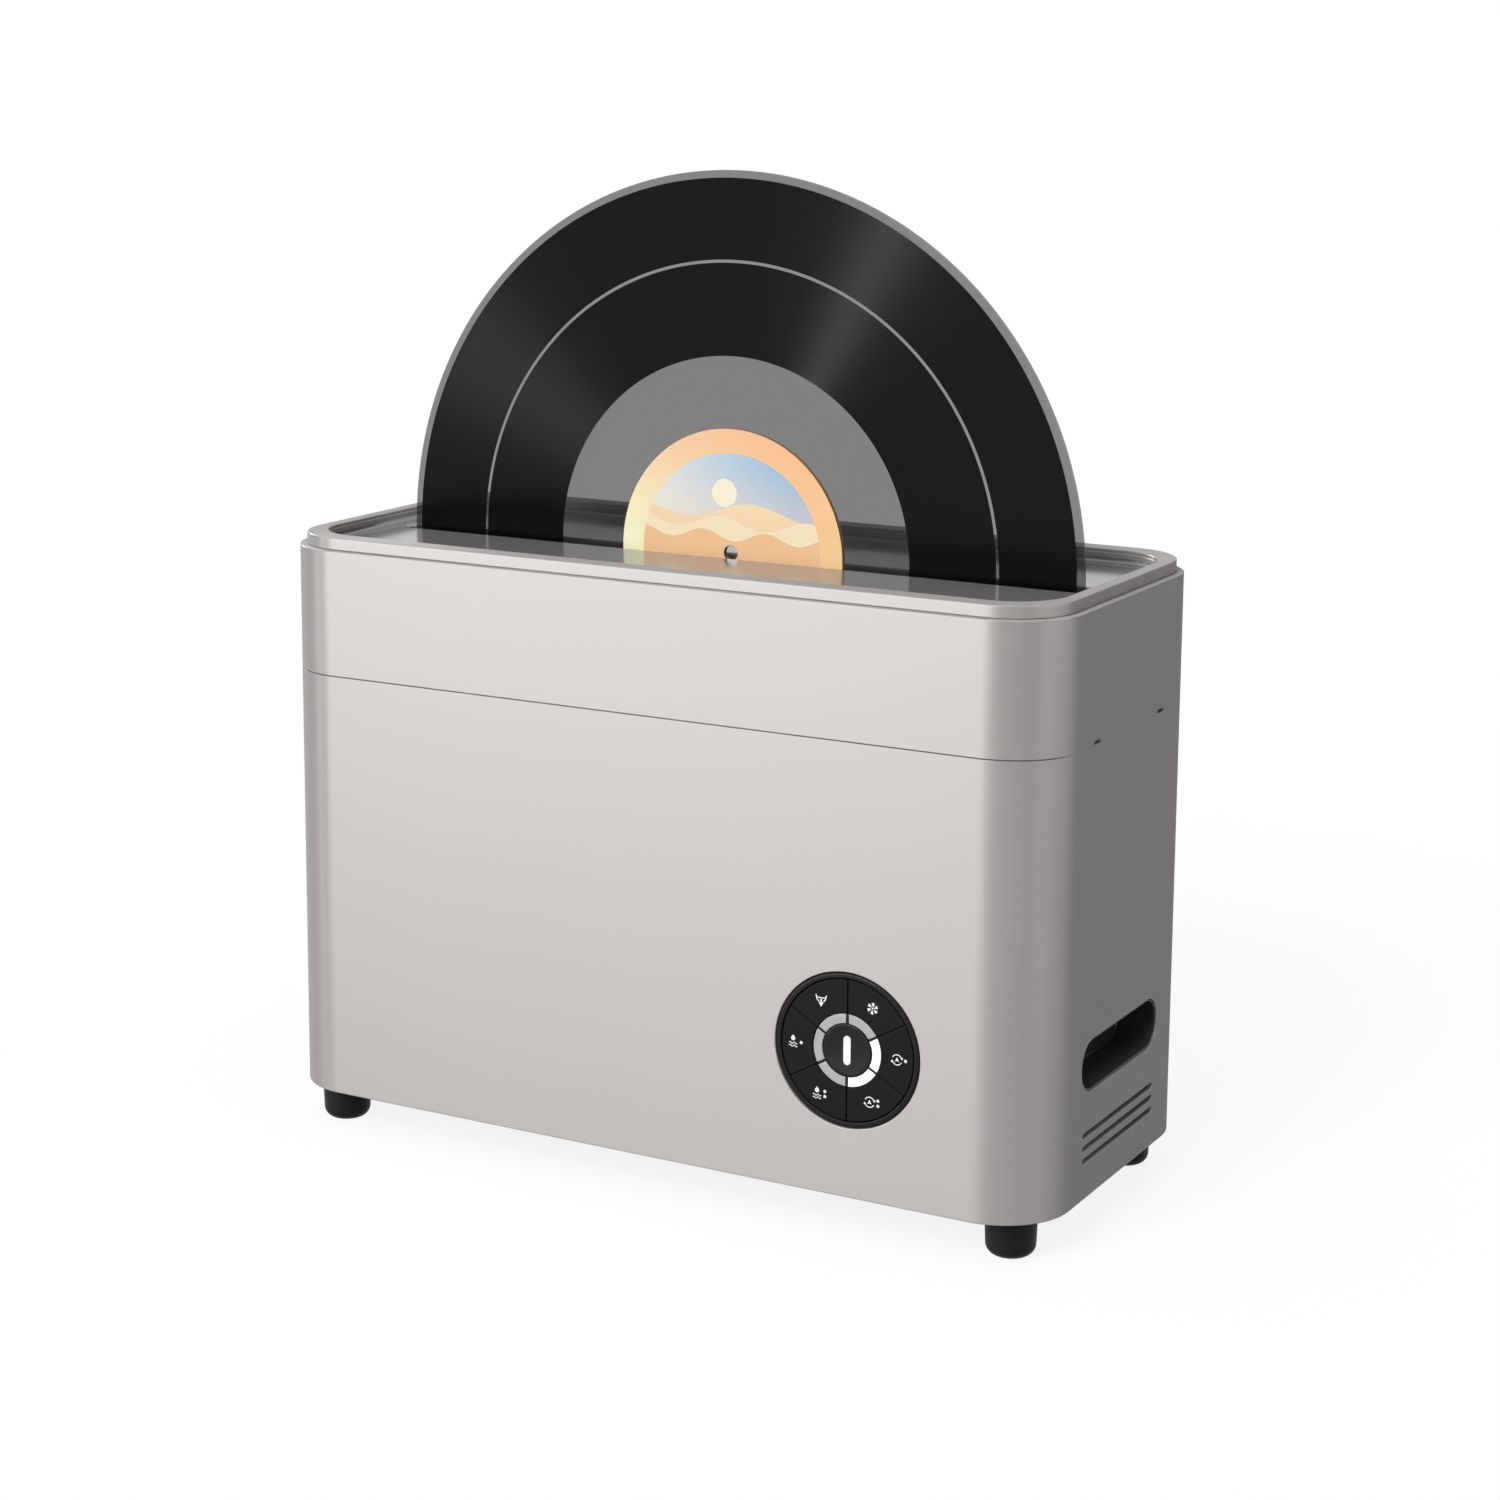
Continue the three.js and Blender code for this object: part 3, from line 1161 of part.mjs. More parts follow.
function fillHose() {
  const from = FLOOR_Z + PUMP_HEIGHT + PUMP_NECK + CLEARANCE;
  const to = BASIN_OUTER_Y + CLEARANCE;
  const bend = (PUMP_Y - to) / 2;
  const path = new THREE.CurvePath();
  const low = new THREE.Vector3(PUMP_X, PUMP_Y, from);
  const turn = new THREE.Vector3(PUMP_X, PUMP_Y, HOSE_END_Z - bend);
  const corner = new THREE.Vector3(PUMP_X, PUMP_Y, HOSE_END_Z);
  const level = new THREE.Vector3(PUMP_X, PUMP_Y - bend, HOSE_END_Z);
  path.add(new THREE.LineCurve3(low, turn));
  path.add(new THREE.QuadraticBezierCurve3(turn, corner, level));
  path.add(new THREE.LineCurve3(level, new THREE.Vector3(PUMP_X, to, HOSE_END_Z)));
  const section = circle(HOSE_RADIUS);
  const steps = 2 * CIRCLE_SEGMENTS;
  return new THREE.ExtrudeGeometry(section, { steps, extrudePath: path, curveSegments: ROUND_STEPS });
}
piece("fill_hose", fillHose(), clearPlastic);

// Power inlet in the rear wall
function dcJack() {
  const wallIn = HALF_DEPTH - WALL - CLEARANCE;
  const end = wallIn - JACK_LENGTH;
  const half = JACK_RADIUS + BUSH_FLANGE / 2;
  const collar = rodY(JACK_RADIUS, end, HALF_DEPTH, 2 * CIRCLE_SEGMENTS);
  const bore = rodY(JACK_BORE, end + BUSH_FLANGE, HALF_DEPTH + OVERRUN, 2 * CIRCLE_SEGMENTS);
  const pin = rodY(JACK_PIN, end + BUSH_FLANGE / 2, HALF_DEPTH - WALL, CIRCLE_SEGMENTS);
  return join(cut(join(collar, block(-half, half, end, wallIn, -half, half)), bore), pin);
}
piece("dc_jack", dcJack(), blackPlastic).position.set(JACK_X, 0, BOTTOM_Z + JACK_HEIGHT);

// Control dial, drawn flat: x to the right, y up, z out of the front of the machine
const dial = new THREE.Group();
dial.position.set(DIAL_X, -HALF_DEPTH, DIAL_Z);
dial.rotation.x = Math.PI / 2;
machine.add(dial);

const BEZEL_INNER = DIAL_RADIUS - BEZEL_WALL;
const KEY_OUTER = BEZEL_INNER - KEY_GAP;
const KEY_BACK = -KEY_SINK - KEY_THICKNESS;
const DOME_TOP = DOME_HEIGHT - MAT_DEPTH;
const STEM_END = DOME_TOP + KEY_TRAVEL + CLEARANCE / 3;
const MAT_BACK = -MAT_DEPTH - MAT_THICKNESS;
const CONTROL_BOARD_FRONT = MAT_BACK - CLEARANCE;
const CONTROL_BOARD_BACK = CONTROL_BOARD_FRONT - BOARD_THICKNESS;
const CUP_FRONT = -WALL - CLEARANCE;
const CUP_INNER = DIAL_RADIUS + CLEARANCE;
const CUP_OUTER = CUP_INNER + CONTROL_CUP_WALL;
const CUP_FLOOR_Z = CONTROL_BOARD_BACK - CLEARANCE;
const SECTOR = Math.PI / 3;
const KEY_CENTRE_SHARE = 0.5;

const bezel = tubeZ(BEZEL_INNER, DIAL_RADIUS, MAT_BACK, 0, 4 * CIRCLE_SEGMENTS);
piece("control_bezel", bezel, blackPlastic, dial);

function controlCup() {
  const low = CUP_FLOOR_Z - CONTROL_FLOOR;
  return turnedZ([
    [0, low],
    [CUP_OUTER, low],
    [CUP_OUTER, CUP_FRONT - CONTROL_FLOOR],
    [CUP_OUTER + CONTROL_FLANGE, CUP_FRONT - CONTROL_FLOOR],
    [CUP_OUTER + CONTROL_FLANGE, CUP_FRONT],
    [CUP_INNER, CUP_FRONT],
    [CUP_INNER, CUP_FLOOR_Z],
    [0, CUP_FLOOR_Z],
  ], 4 * CIRCLE_SEGMENTS);
}
piece("control_cup", controlCup(), blackPlastic, dial);
piece("control_board", rodZ(DIAL_RADIUS, CONTROL_BOARD_BACK, CONTROL_BOARD_FRONT), greenBoard, dial);

function keyStemPlace(index) {
  const radius = KEY_INNER + (KEY_OUTER - KEY_INNER) * KEY_CENTRE_SHARE;
  const angle = (index + KEY_CENTRE_SHARE) * SECTOR + SECTOR / 2;
  return [radius * Math.cos(angle), radius * Math.sin(angle)];
}

const keyNames = ["key_dry", "key_drain", "key_clean_1", "key_clean_2", "key_auto_2", "key_auto_1"];

function sectorKey(index) {
  const from = index * SECTOR + SECTOR / 2;
  const to = from + SECTOR;
  const outerTrim = Math.asin(KEY_GAP / 2 / KEY_OUTER);
  const innerTrim = Math.asin(KEY_GAP / 2 / KEY_INNER);
  const shape = new THREE.Shape();
  shape.absarc(0, 0, KEY_OUTER, from + outerTrim, to - outerTrim);
  shape.absarc(0, 0, KEY_INNER, to - innerTrim, from + innerTrim, true);
  const [x, y] = keyStemPlace(index);
  const stem = rodZ(KEY_STEM, STEM_END, -KEY_SINK - KEY_THICKNESS / 2, CIRCLE_SEGMENTS).translate(x, y, 0);
  return join(prismZ(shape, KEY_BACK, -KEY_SINK, ROUND_STEPS), stem);
}
keyNames.forEach((name, index) => piece(name, sectorKey(index), blackPlastic, dial));

function powerKey() {
  const radius = LIGHT_INNER - KEY_GAP / 2;
  return turnedZ([
    [0, STEM_END],
    [KEY_STEM, STEM_END],
    [KEY_STEM, KEY_BACK],
    [radius, KEY_BACK],
    [radius, -KEY_SINK],
    [0, -KEY_SINK],
  ]);
}
piece("power_key", powerKey(), blackPlastic, dial);

function keyMat() {
  const domes = [[0, 0], ...keyNames.map((name, index) => keyStemPlace(index))].map(([x, y]) =>
    turnedZ([
      [0, -MAT_DEPTH - MAT_THICKNESS / 2],
      [DOME_RADIUS, -MAT_DEPTH - MAT_THICKNESS / 2],
      [DOME_RADIUS, -MAT_DEPTH],
      [KEY_STEM, DOME_TOP],
      [0, DOME_TOP],
    ], CIRCLE_SEGMENTS).translate(x, y, 0),
  );
  return join(rodZ(BEZEL_INNER - CLEARANCE, MAT_BACK, -MAT_DEPTH), ...domes);
}
piece("key_mat", keyMat(), rubber, dial);

function lightRing() {
  const ring = tubeZ(LIGHT_INNER, LIGHT_OUTER, CLEARANCE - MAT_DEPTH, -KEY_SINK, 4 * CIRCLE_SEGMENTS);
  const slits = keyNames.map((name, index) =>
    block(
      0,
      LIGHT_OUTER + OVERRUN,
      -LIGHT_SLIT / 2,
      LIGHT_SLIT / 2,
      -KEY_SINK - LIGHT_SLIT_DEPTH,
      OVERRUN,
    ).rotateZ(index * SECTOR + SECTOR / 2),
  );
  return cut(ring, ...slits);
}
piece("light_ring", lightRing(), lightPlastic, dial);

// Record, standing on edge between the rollers' flanges, with a paper label on each side
const recordAxis = new THREE.Group();
recordAxis.position.set(0, 0, RECORD_Z);
machine.add(recordAxis);

function recordDisc() {
  const half = RECORD_THICKNESS / 2;
  const edge = RECORD_EDGE / 2;
  return turnedY([
    [RECORD_HOLE, -half],
    [RECORD_RADIUS - RECORD_EDGE_RUN, -half],
    [RECORD_RADIUS, -edge],
    [RECORD_RADIUS, edge],
    [RECORD_RADIUS - RECORD_EDGE_RUN, half],
    [RECORD_HOLE, half],
    [RECORD_HOLE, -half],
  ], RECORD_SEGMENTS);
}
piece("record_disc", recordDisc(), vinyl, recordAxis);

function recordLabel(side) {
  const near = RECORD_THICKNESS / 2;
  const hole = RECORD_HOLE + CLEARANCE;
  return tubeY(hole, LABEL_RADIUS, ...span(side, near, near + LABEL_THICKNESS), RECORD_SEGMENTS / 2);
}
piece("record_label_front", recordLabel(-1), paper, recordAxis);
piece("record_label_rear", recordLabel(1), paper, recordAxis);

export default machine;
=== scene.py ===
# Looks of the record cleaning machine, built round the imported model. Sizes are in millimetres in
# the model's own frame: x to the right, y to the back, z up, the ground at z = 0.
import json
import math

import bpy
import bmesh
from mathutils import Matrix, Vector


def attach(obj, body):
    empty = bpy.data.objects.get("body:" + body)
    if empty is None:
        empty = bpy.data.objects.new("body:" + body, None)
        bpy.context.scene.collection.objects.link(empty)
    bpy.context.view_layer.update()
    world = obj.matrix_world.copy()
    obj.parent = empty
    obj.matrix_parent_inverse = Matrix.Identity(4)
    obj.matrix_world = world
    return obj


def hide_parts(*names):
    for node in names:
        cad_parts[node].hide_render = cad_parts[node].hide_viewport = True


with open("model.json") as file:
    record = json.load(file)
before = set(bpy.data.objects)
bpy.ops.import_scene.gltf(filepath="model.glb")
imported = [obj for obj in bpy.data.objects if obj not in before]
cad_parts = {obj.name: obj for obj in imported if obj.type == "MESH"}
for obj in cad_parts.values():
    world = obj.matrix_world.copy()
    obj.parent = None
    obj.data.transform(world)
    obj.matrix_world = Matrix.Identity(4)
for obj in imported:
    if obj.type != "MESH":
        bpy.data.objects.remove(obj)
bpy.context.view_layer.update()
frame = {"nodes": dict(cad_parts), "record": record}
bpy.context.scene.view_settings.view_transform = "Standard"
nodes = frame["nodes"]
MM = 0.001

# Camera at the photograph's place: angles in radians, sizes of the picture in pixels
CAMERA_AT = (598.614, -1085.213, 450.476)
CAMERA_YAW = 0.514311
CAMERA_PITCH = 0.177638
CAMERA_ROLL = 0.004382
SENSOR = 36.0
FOCAL_PIXELS = 3166.234
PHOTO_SIDE = 1500
PRINCIPAL_X = 700
PRINCIPAL_Y = 590
CLIP_START, CLIP_END = 0.01, 50

camera_data = bpy.data.cameras.new("camera")
camera_data.sensor_fit = "HORIZONTAL"
camera_data.sensor_width = SENSOR
camera_data.lens = SENSOR * FOCAL_PIXELS / PHOTO_SIDE
camera_data.shift_x = 0.5 - PRINCIPAL_X / PHOTO_SIDE
camera_data.shift_y = PRINCIPAL_Y / PHOTO_SIDE - 0.5
camera_data.clip_start = CLIP_START
camera_data.clip_end = CLIP_END
camera = bpy.data.objects.new("camera", camera_data)
bpy.context.scene.collection.objects.link(camera)
bpy.context.scene.camera = camera
forward = Vector(
    (
        -math.sin(CAMERA_YAW) * math.cos(CAMERA_PITCH),
        math.cos(CAMERA_YAW) * math.cos(CAMERA_PITCH),
        -math.sin(CAMERA_PITCH),
    )
)
level = Vector((math.cos(CAMERA_YAW), math.sin(CAMERA_YAW), 0))
upward = level.cross(forward)
right = level * math.cos(CAMERA_ROLL) + upward * math.sin(CAMERA_ROLL)
upward = right.cross(forward)
turn = Matrix((right, upward, -forward)).transposed().to_4x4()
camera.matrix_world = Matrix.Translation(Vector(CAMERA_AT) * MM) @ turn

# Sizes and places of the model's pieces
X, Y, Z = 0, 1, 2
DIGITS = 2


def span(name, axis):
    """Where one of the model's pieces begins and ends along an axis, to a hundredth of a mm."""
    places = [(nodes[name].matrix_world @ vertex.co)[axis] for vertex in nodes[name].data.vertices]
    return round(min(places) / MM, DIGITS), round(max(places) / MM, DIGITS)


def length(name, axis):
    """How long a piece is along an axis."""
    low, high = span(name, axis)
    return round(high - low, DIGITS)


def middle(name, axis):
    """Where a piece has its middle along an axis."""
    return round(sum(span(name, axis)) / 2, DIGITS)


# Body: outline, walls and heights
LEFT, RIGHT = span("lower_casing", X)
FRONT, BACK = span("lower_casing", Y)
BOTTOM, TONGUE_TOP = span("lower_casing", Z)
SEAM_HIGH, CASING_TOP = span("upper_casing", Z)
SKIRT_LOW, TOP = span("top_tray", Z)
DECK = span("inner_deck", Z)[0]
FLOOR, SEAM_LOW = 19.5, 191.2
WIDTH, DEPTH, CORNER = RIGHT - LEFT, BACK - FRONT, 28
WALL, TONGUE, LEDGE, LEDGE_RAMP = 2.5, 1.4, 6.5, 6.0

# Places of the tank, the dial and the record. The dial is drawn a little to the right, as in the
# photograph
DIAL_SHIFT = 0.5
TANK_Z = middle("tank_front", Z)
DIAL_X = middle("control_bezel", X) + DIAL_SHIFT
DIAL_Z = middle("control_bezel", Z)
RECORD_Z = middle("record_disc", Z)

# Seam: open in front and behind, and drawn nearly shut on the two sides, past SEAM_OPEN_X
SEAM_MID, SEAM_REACH = (SEAM_LOW + SEAM_HIGH) / 2, 0.45
SEAM_OPEN_X, SEAM_FADE, SEAM_CLOSED = 165.5, 4.2, 0.94

# Fineness of curves
CORNER_STEPS = 20
EDGE_STEPS, FINE_EDGE_STEPS, FOOT_EDGE_STEPS = 4, 6, 8
CIRCLE_STEPS, FOOT_STEPS, JACK_STEPS, DOT_STEPS = 96, 48, 32, 24
RECORD_STEPS, LABEL_STEPS = 360, 180
STADIUM_STEPS, PULL_STEPS, PILL_STEPS = 8, 16, 12
SECTOR_OUTER_STEPS, SECTOR_INNER_STEPS = 20, 12
ARC_STEPS, DROP_STEPS, WAVE_STEPS, DISH_STEPS = 20, 16, 24, 8
SMOOTH_ANGLE = math.radians(32)


# Section lines and rings
def rounded(corners, closed=False, steps=EDGE_STEPS):
    """A line through corners (u, v, radius), with an arc at each corner that has a radius."""
    line = []
    count = len(corners)
    for i, (u, v, radius) in enumerate(corners):
        here = Vector((u, v))
        if radius == 0 or (not closed and i in (0, count - 1)):
            line.append(here)
            continue
        before = (Vector(corners[i - 1][:2]) - here).normalized()
        after = (Vector(corners[(i + 1) % count][:2]) - here).normalized()
        angle = before.angle(after)
        centre = here + (before + after).normalized() * (radius / math.sin(angle / 2))
        start = here + before * (radius / math.tan(angle / 2)) - centre
        sweep = (math.pi - angle) * (-1 if before.cross(after) > 0 else 1)
        for step in range(steps + 1):
            line.append(centre + Matrix.Rotation(sweep * step / steps, 2) @ start)
    return line


LEAST_CORNER = 0.2


def rectangle(width, depth, radius, inset=0.0, steps=CORNER_STEPS):
    """A rounded rectangle as a list of points, anticlockwise."""
    corner = max(radius - inset, LEAST_CORNER)
    x = width / 2 - inset - corner
    y = depth / 2 - inset - corner
    points = []
    for quarter, (cx, cy) in enumerate([(x, y), (-x, y), (-x, -y), (x, -y)]):
        for step in range(steps + 1):
            angle = (quarter + step / steps) * math.pi / 2
            points.append((cx + corner * math.cos(angle), cy + corner * math.sin(angle)))
    return points


def stadium(width, height, grow=0.0, steps=STADIUM_STEPS):
    """A rectangle with round ends."""
    return rectangle(width + 2 * grow, height + 2 * grow, height / 2 + grow, 0.0, steps)


def circle(radius, steps=CIRCLE_STEPS):
    """A circle as a list of points, anticlockwise."""
    angles = [2 * math.pi * step / steps for step in range(steps)]
    return [(radius * math.cos(a), radius * math.sin(a)) for a in angles]


SECTOR_SWEEP = math.pi / 3


def sector(inner, outer, gaps, start, inset):
    """A sixth of a ring between two straight gaps, given as half widths, anticlockwise."""
    points = []
    for radius, order, count in (
        (outer - inset, 1, SECTOR_OUTER_STEPS),
        (inner + inset, -1, SECTOR_INNER_STEPS),
    ):
        first = start + math.asin((gaps[0] + inset) / radius)
        last = start + SECTOR_SWEEP - math.asin((gaps[1] + inset) / radius)
        turns = [first + (last - first) * step / count for step in range(count + 1)]
        points += [(radius * math.cos(a), radius * math.sin(a)) for a in turns[::order]]
    return points


def on_z(points, z, x=0.0, y=0.0):
    return [(x + u, y + v, z) for u, v in points]


def on_x(points, x, z):
    return [(x, u, z + v) for u, v in points]


def on_front(points, out, x, z, face=FRONT):
    return [(x + u, face - out, z + v) for u, v in points]


def loft(rings, closed=False):
    """Vertices and faces of a body through rings of equally many points."""
    count = len(rings[0])
    verts = [point for ring in rings for point in ring]
    faces = []
    for k in range(len(rings) if closed else len(rings) - 1):
        low = k * count
        high = (k + 1) % len(rings) * count
        for i in range(count):
            j = (i + 1) % count
            faces.append((low + i, low + j, high + j, high + i))
    if not closed:
        faces.append(tuple(reversed(range(count))))
        faces.append(tuple(range((len(rings) - 1) * count, len(rings) * count)))
    return verts, faces


def block(size, low, high, x, y=0.0, steps=EDGE_STEPS):
    """An upright block; size is (width, depth, corner radius)."""
    return loft([on_z(rectangle(*size, steps=steps), z, x, y) for z in (low, high)])


def body_rings(section):
    """Rings of the body's outline for a section of (inset, z)."""
    return [on_z(rectangle(WIDTH, DEPTH, CORNER, inset), z) for inset, z in section]


def narrowed(solid):
    """Draws the lips of the seam together along the sides of the casing."""
    verts = []
    for x, y, z in solid[0]:
        if abs(z - SEAM_MID) < SEAM_REACH:
            side = min(max((abs(x) - SEAM_OPEN_X) / SEAM_FADE, 0.0), 1.0)
            z += (SEAM_MID - z) * SEAM_CLOSED * side
        verts.append((x, y, z))
    return verts, solid[1]


def merged(*parts):
    """Several bodies as one list of vertices and one of faces."""
    verts, faces = [], []
    for more_verts, more_faces in parts:
        faces += [tuple(i + len(verts) for i in face) for face in more_faces]
        verts += more_verts
    return verts, faces


# Objects
def raw_object(name, solid, origin=(0, 0, 0)):
    mesh = bpy.data.meshes.new(name)
    at = Vector(origin)
    mesh.from_pydata([(Vector(v) - at) * MM for v in solid[0]], [], solid[1])
    bm = bmesh.new()
    bm.from_mesh(mesh)
    bmesh.ops.recalc_face_normals(bm, faces=bm.faces)
    bm.to_mesh(mesh)
    bm.free()
    thing = bpy.data.objects.new(name, mesh)
    thing.location = at * MM
    bpy.context.scene.collection.objects.link(thing)
    return thing


def settle(thing):
    """Replaces an object's mesh by the result of its modifiers."""
    graph = bpy.context.evaluated_depsgraph_get()
    graph.update()
    mesh = bpy.data.meshes.new_from_object(thing.evaluated_get(graph))
    thing.modifiers.clear()
    old = thing.data
    thing.data = mesh
    bpy.data.meshes.remove(old)


def boolean(thing, solid, operation):
    """Cuts a solid out of an object, or adds it."""
    tool = raw_object("tool", solid)
    modifier = thing.modifiers.new("cut", "BOOLEAN")
    modifier.object = tool
    modifier.operation = operation
    modifier.solver = "MANIFOLD"
    settle(thing)
    mesh = tool.data
    bpy.data.objects.remove(tool)
    bpy.data.meshes.remove(mesh)


def smooth(thing):
    """Smooth shading that keeps flat faces flat and sharp edges sharp."""
    thing.data.shade_smooth()
    thing.data.set_sharp_from_angle(angle=SMOOTH_ANGLE)
    modifier = thing.modifiers.new("normals", "WEIGHTED_NORMAL")
    modifier.keep_sharp = True
    settle(thing)


def dressed(thing, material, body, replaces=()):
    """Gives a shape its material and its place: the body it rides on, and what it stands for."""
    thing.data.materials.clear()
    thing.data.materials.append(material)
    smooth(thing)
    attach(thing, body)
    if replaces:
        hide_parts(*replaces)


def piece(name, solid, material, body, replaces=(), origin=(0, 0, 0), cuts=(), adds=()):
    """A finished piece of the object that rides on one of the model's bodies."""
    thing = raw_object(name, solid, origin)
    for extra in adds:
        boolean(thing, extra, "UNION")
    for extra in cuts:
        boolean(thing, extra, "DIFFERENCE")
    dressed(thing, material, body, replaces)


# Materials
WHITE = (1, 1, 1, 1)
BROAD_GRAIN, BROAD_DETAIL, BROAD_SHARE = 9.0, 2.0, 0.4
FINE_DETAIL, FINE_SHARE = 3.0, 0.6
ALONG_CIRCLES = 0.25


def node(tree, kind, inputs=None, **settings):
    """A new node; each input is a socket to link from or a plain value."""
    made = tree.nodes.new("ShaderNode" + kind)
    for key, value in settings.items():
        setattr(made, key, value)
    for key, value in (inputs or {}).items():
        if isinstance(value, bpy.types.NodeSocket):
            tree.links.new(value, made.inputs[key])
        else:
            made.inputs[key].default_value = value
    return made


def math_node(tree, operation, *values):
    made = node(tree, "Math", dict(enumerate(values)), operation=operation)
    return made.outputs[0]


def new_material(name):
    material = bpy.data.materials.new(name)
    material.use_nodes = True
    tree = material.node_tree
    return material, tree, tree.nodes["Principled BSDF"]


def object_place(tree):
    return node(tree, "TexCoord").outputs["Object"]


def noise(tree, scale, detail=BROAD_DETAIL, stretch=None):
    place = object_place(tree)
    if stretch:
        place = node(tree, "Mapping", {"Vector": place, "Scale": stretch}).outputs[0]
    made = node(tree, "TexNoise", {"Vector": place, "Scale": scale, "Detail": detail})
    return made.outputs["Fac"]


def ranged(tree, value, low, high):
    """A value from 0 to 1 carried over to low to high."""
    made = node(tree, "MapRange", {"Value": value, "To Min": low, "To Max": high})
    return made.outputs["Result"]


def ranged_from(tree, value, low, high):
    """A value from low to high carried over to 0 to 1."""
    made = node(tree, "MapRange", {"Value": value, "From Min": low, "From Max": high})
    return made.outputs["Result"]


def colour(value):
    return (*value, 1.0)


def grey(value):
    return colour((value,) * 3)


def mix_colours(tree, factor, first, second):
    return node(tree, "Mix", {0: factor, 6: first, 7: second}, data_type="RGBA").outputs[2]


def set_sockets(shader, **values):
    for key, value in values.items():
        shader.inputs[key.replace("_", " ")].default_value = value


def relief(tree, shader, height, strength, depth):
    """Fine relief of a surface, with its depth in millimetres."""
    bump = node(tree, "Bump", {"Height": height, "Strength": strength, "Distance": depth * MM})
    tree.links.new(bump.outputs[0], shader.inputs["Normal"])


def brushed(tree, shader, axis, amount):
    """Stretches the highlights along circles round an axis of the object."""
    along = node(tree, "Tangent", direction_type="RADIAL", axis=axis)
    tree.links.new(along.outputs[0], shader.inputs["Tangent"])
    set_sockets(shader, Anisotropic=amount, Anisotropic_Rotation=ALONG_CIRCLES)


def surface(
    name, tint, rough, grain, grain_depth, vary=0.06, rough_vary=0.05, metallic=0.0,
    specular=0.5, stretch=None, anisotropic=0.0,
):
    """A material whose colour, roughness and relief vary at a fine and at a broad scale."""
    material, tree, shader = new_material(name)
    fine = noise(tree, grain, FINE_DETAIL, stretch)
    broad = math_node(tree, "MULTIPLY", noise(tree, BROAD_GRAIN, BROAD_DETAIL), BROAD_SHARE)
    both = math_node(tree, "MULTIPLY_ADD", fine, FINE_SHARE, broad)
    dark = colour([c * (1 - vary) for c in tint])
    light = colour([min(c * (1 + vary), 1.0) for c in tint])
    tree.links.new(mix_colours(tree, both, dark, light), shader.inputs["Base Color"])
    rough_socket = ranged(tree, both, rough - rough_vary, rough + rough_vary)
    tree.links.new(rough_socket, shader.inputs["Roughness"])
    relief(tree, shader, fine, 1.0, grain_depth)
    set_sockets(shader, Metallic=metallic, Specular_IOR_Level=specular)
    if anisotropic:
        brushed(tree, shader, "Z", anisotropic)
    return material


def glowing(material, strength):
    """The same material with a little white light of its own."""
    shader = material.node_tree.nodes["Principled BSDF"]
    set_sockets(shader, Emission_Color=WHITE, Emission_Strength=strength)
    return material


silver = surface(
    "silver_paint", (0.38, 0.364, 0.358), 0.4, vary=0.02, grain=2600.0, grain_depth=0.004,
    specular=0.0, rough_vary=0.02, metallic=0.2, anisotropic=0.8,
)
silver_gloss = surface(
    "silver_gloss", (0.27, 0.264, 0.26), 0.15, vary=0.02, grain=1800.0, grain_depth=0.002,
    specular=0.5, rough_vary=0.03, metallic=0.4,
)
black_plastic = surface(
    "black_plastic", (0.012, 0.0115, 0.011), 0.42, vary=0.25, grain=2400.0, grain_depth=0.01,
    specular=0.1,
)
black_gloss = surface(
    "black_gloss", (0.055, 0.052, 0.052), 0.25, vary=0.2, grain=500.0, grain_depth=0.002,
    specular=0.15, rough_vary=0.04,
)
bezel_black = surface(
    "bezel_black", (0.017, 0.0163, 0.0155), 0.3, vary=0.15, grain=2400.0, grain_depth=0.004,
    specular=0.08,
)
power_black = surface(
    "power_black", (0.008, 0.0078, 0.0076), 0.35, vary=0.1, grain=3000.0, grain_depth=0.003,
    specular=0.15,
)
key_black = surface(
    "key_black", (0.0115, 0.0108, 0.0105), 0.4, vary=0.12, grain=3000.0, grain_depth=0.006,
    specular=0.05,
)
rubber = surface(
    "rubber", (0.008, 0.008, 0.008), 0.5, vary=0.3, grain=1500.0, grain_depth=0.02, specular=0.1,
)
grey_plastic = surface("grey_plastic", (0.3, 0.31, 0.32), 0.5, grain=1600.0, grain_depth=0.02)
steel = surface(
    "steel", (0.6, 0.61, 0.62), 0.3, vary=0.08, grain=300.0, grain_depth=0.008, metallic=1.0,
    stretch=(1, 1, 14), rough_vary=0.08,
)
aluminium = surface(
    "aluminium", (0.7, 0.7, 0.72), 0.36, vary=0.06, grain=400.0, grain_depth=0.01, metallic=1.0,
    stretch=(1, 12, 1), rough_vary=0.08,
)
brass = surface(
    "brass", (0.68, 0.48, 0.2), 0.32, vary=0.1, grain=400.0, grain_depth=0.01, metallic=1.0,
)
board_green = surface(
    "circuit_board", (0.025, 0.13, 0.06), 0.4, vary=0.35, grain=260.0, grain_depth=0.05,
)
foam = surface(
    "foam", (0.08, 0.085, 0.095), 0.95, vary=0.6, grain=700.0, grain_depth=0.6, specular=0.1,
)
light_off = surface(
    "light_off", (0.46, 0.455, 0.46), 0.3, vary=0.04, grain=900.0, grain_depth=0.004,
)
light_on = glowing(
    surface("light_on", (0.95, 0.95, 0.95), 0.3, vary=0.02, grain=900.0, grain_depth=0.004),
    0.35,
)
# Painted glow: the white ink of the icons and the power mark gives off a little light of its own,
# though it is no lamp
ink = glowing(
    surface("ink", (0.86, 0.86, 0.86), 0.5, vary=0.03, grain=2500.0, grain_depth=0.004),
    0.15,
)

# Clear plastic of the tank
CLEAR_DARK, CLEAR_LIGHT, CLEAR_TINT_GRAIN = (0.5, 0.58, 0.6), (0.6, 0.67, 0.7), 12.0
CLEAR_ROUGH_LOW, CLEAR_ROUGH_HIGH, CLEAR_ROUGH_GRAIN = 0.08, 0.2, 60.0


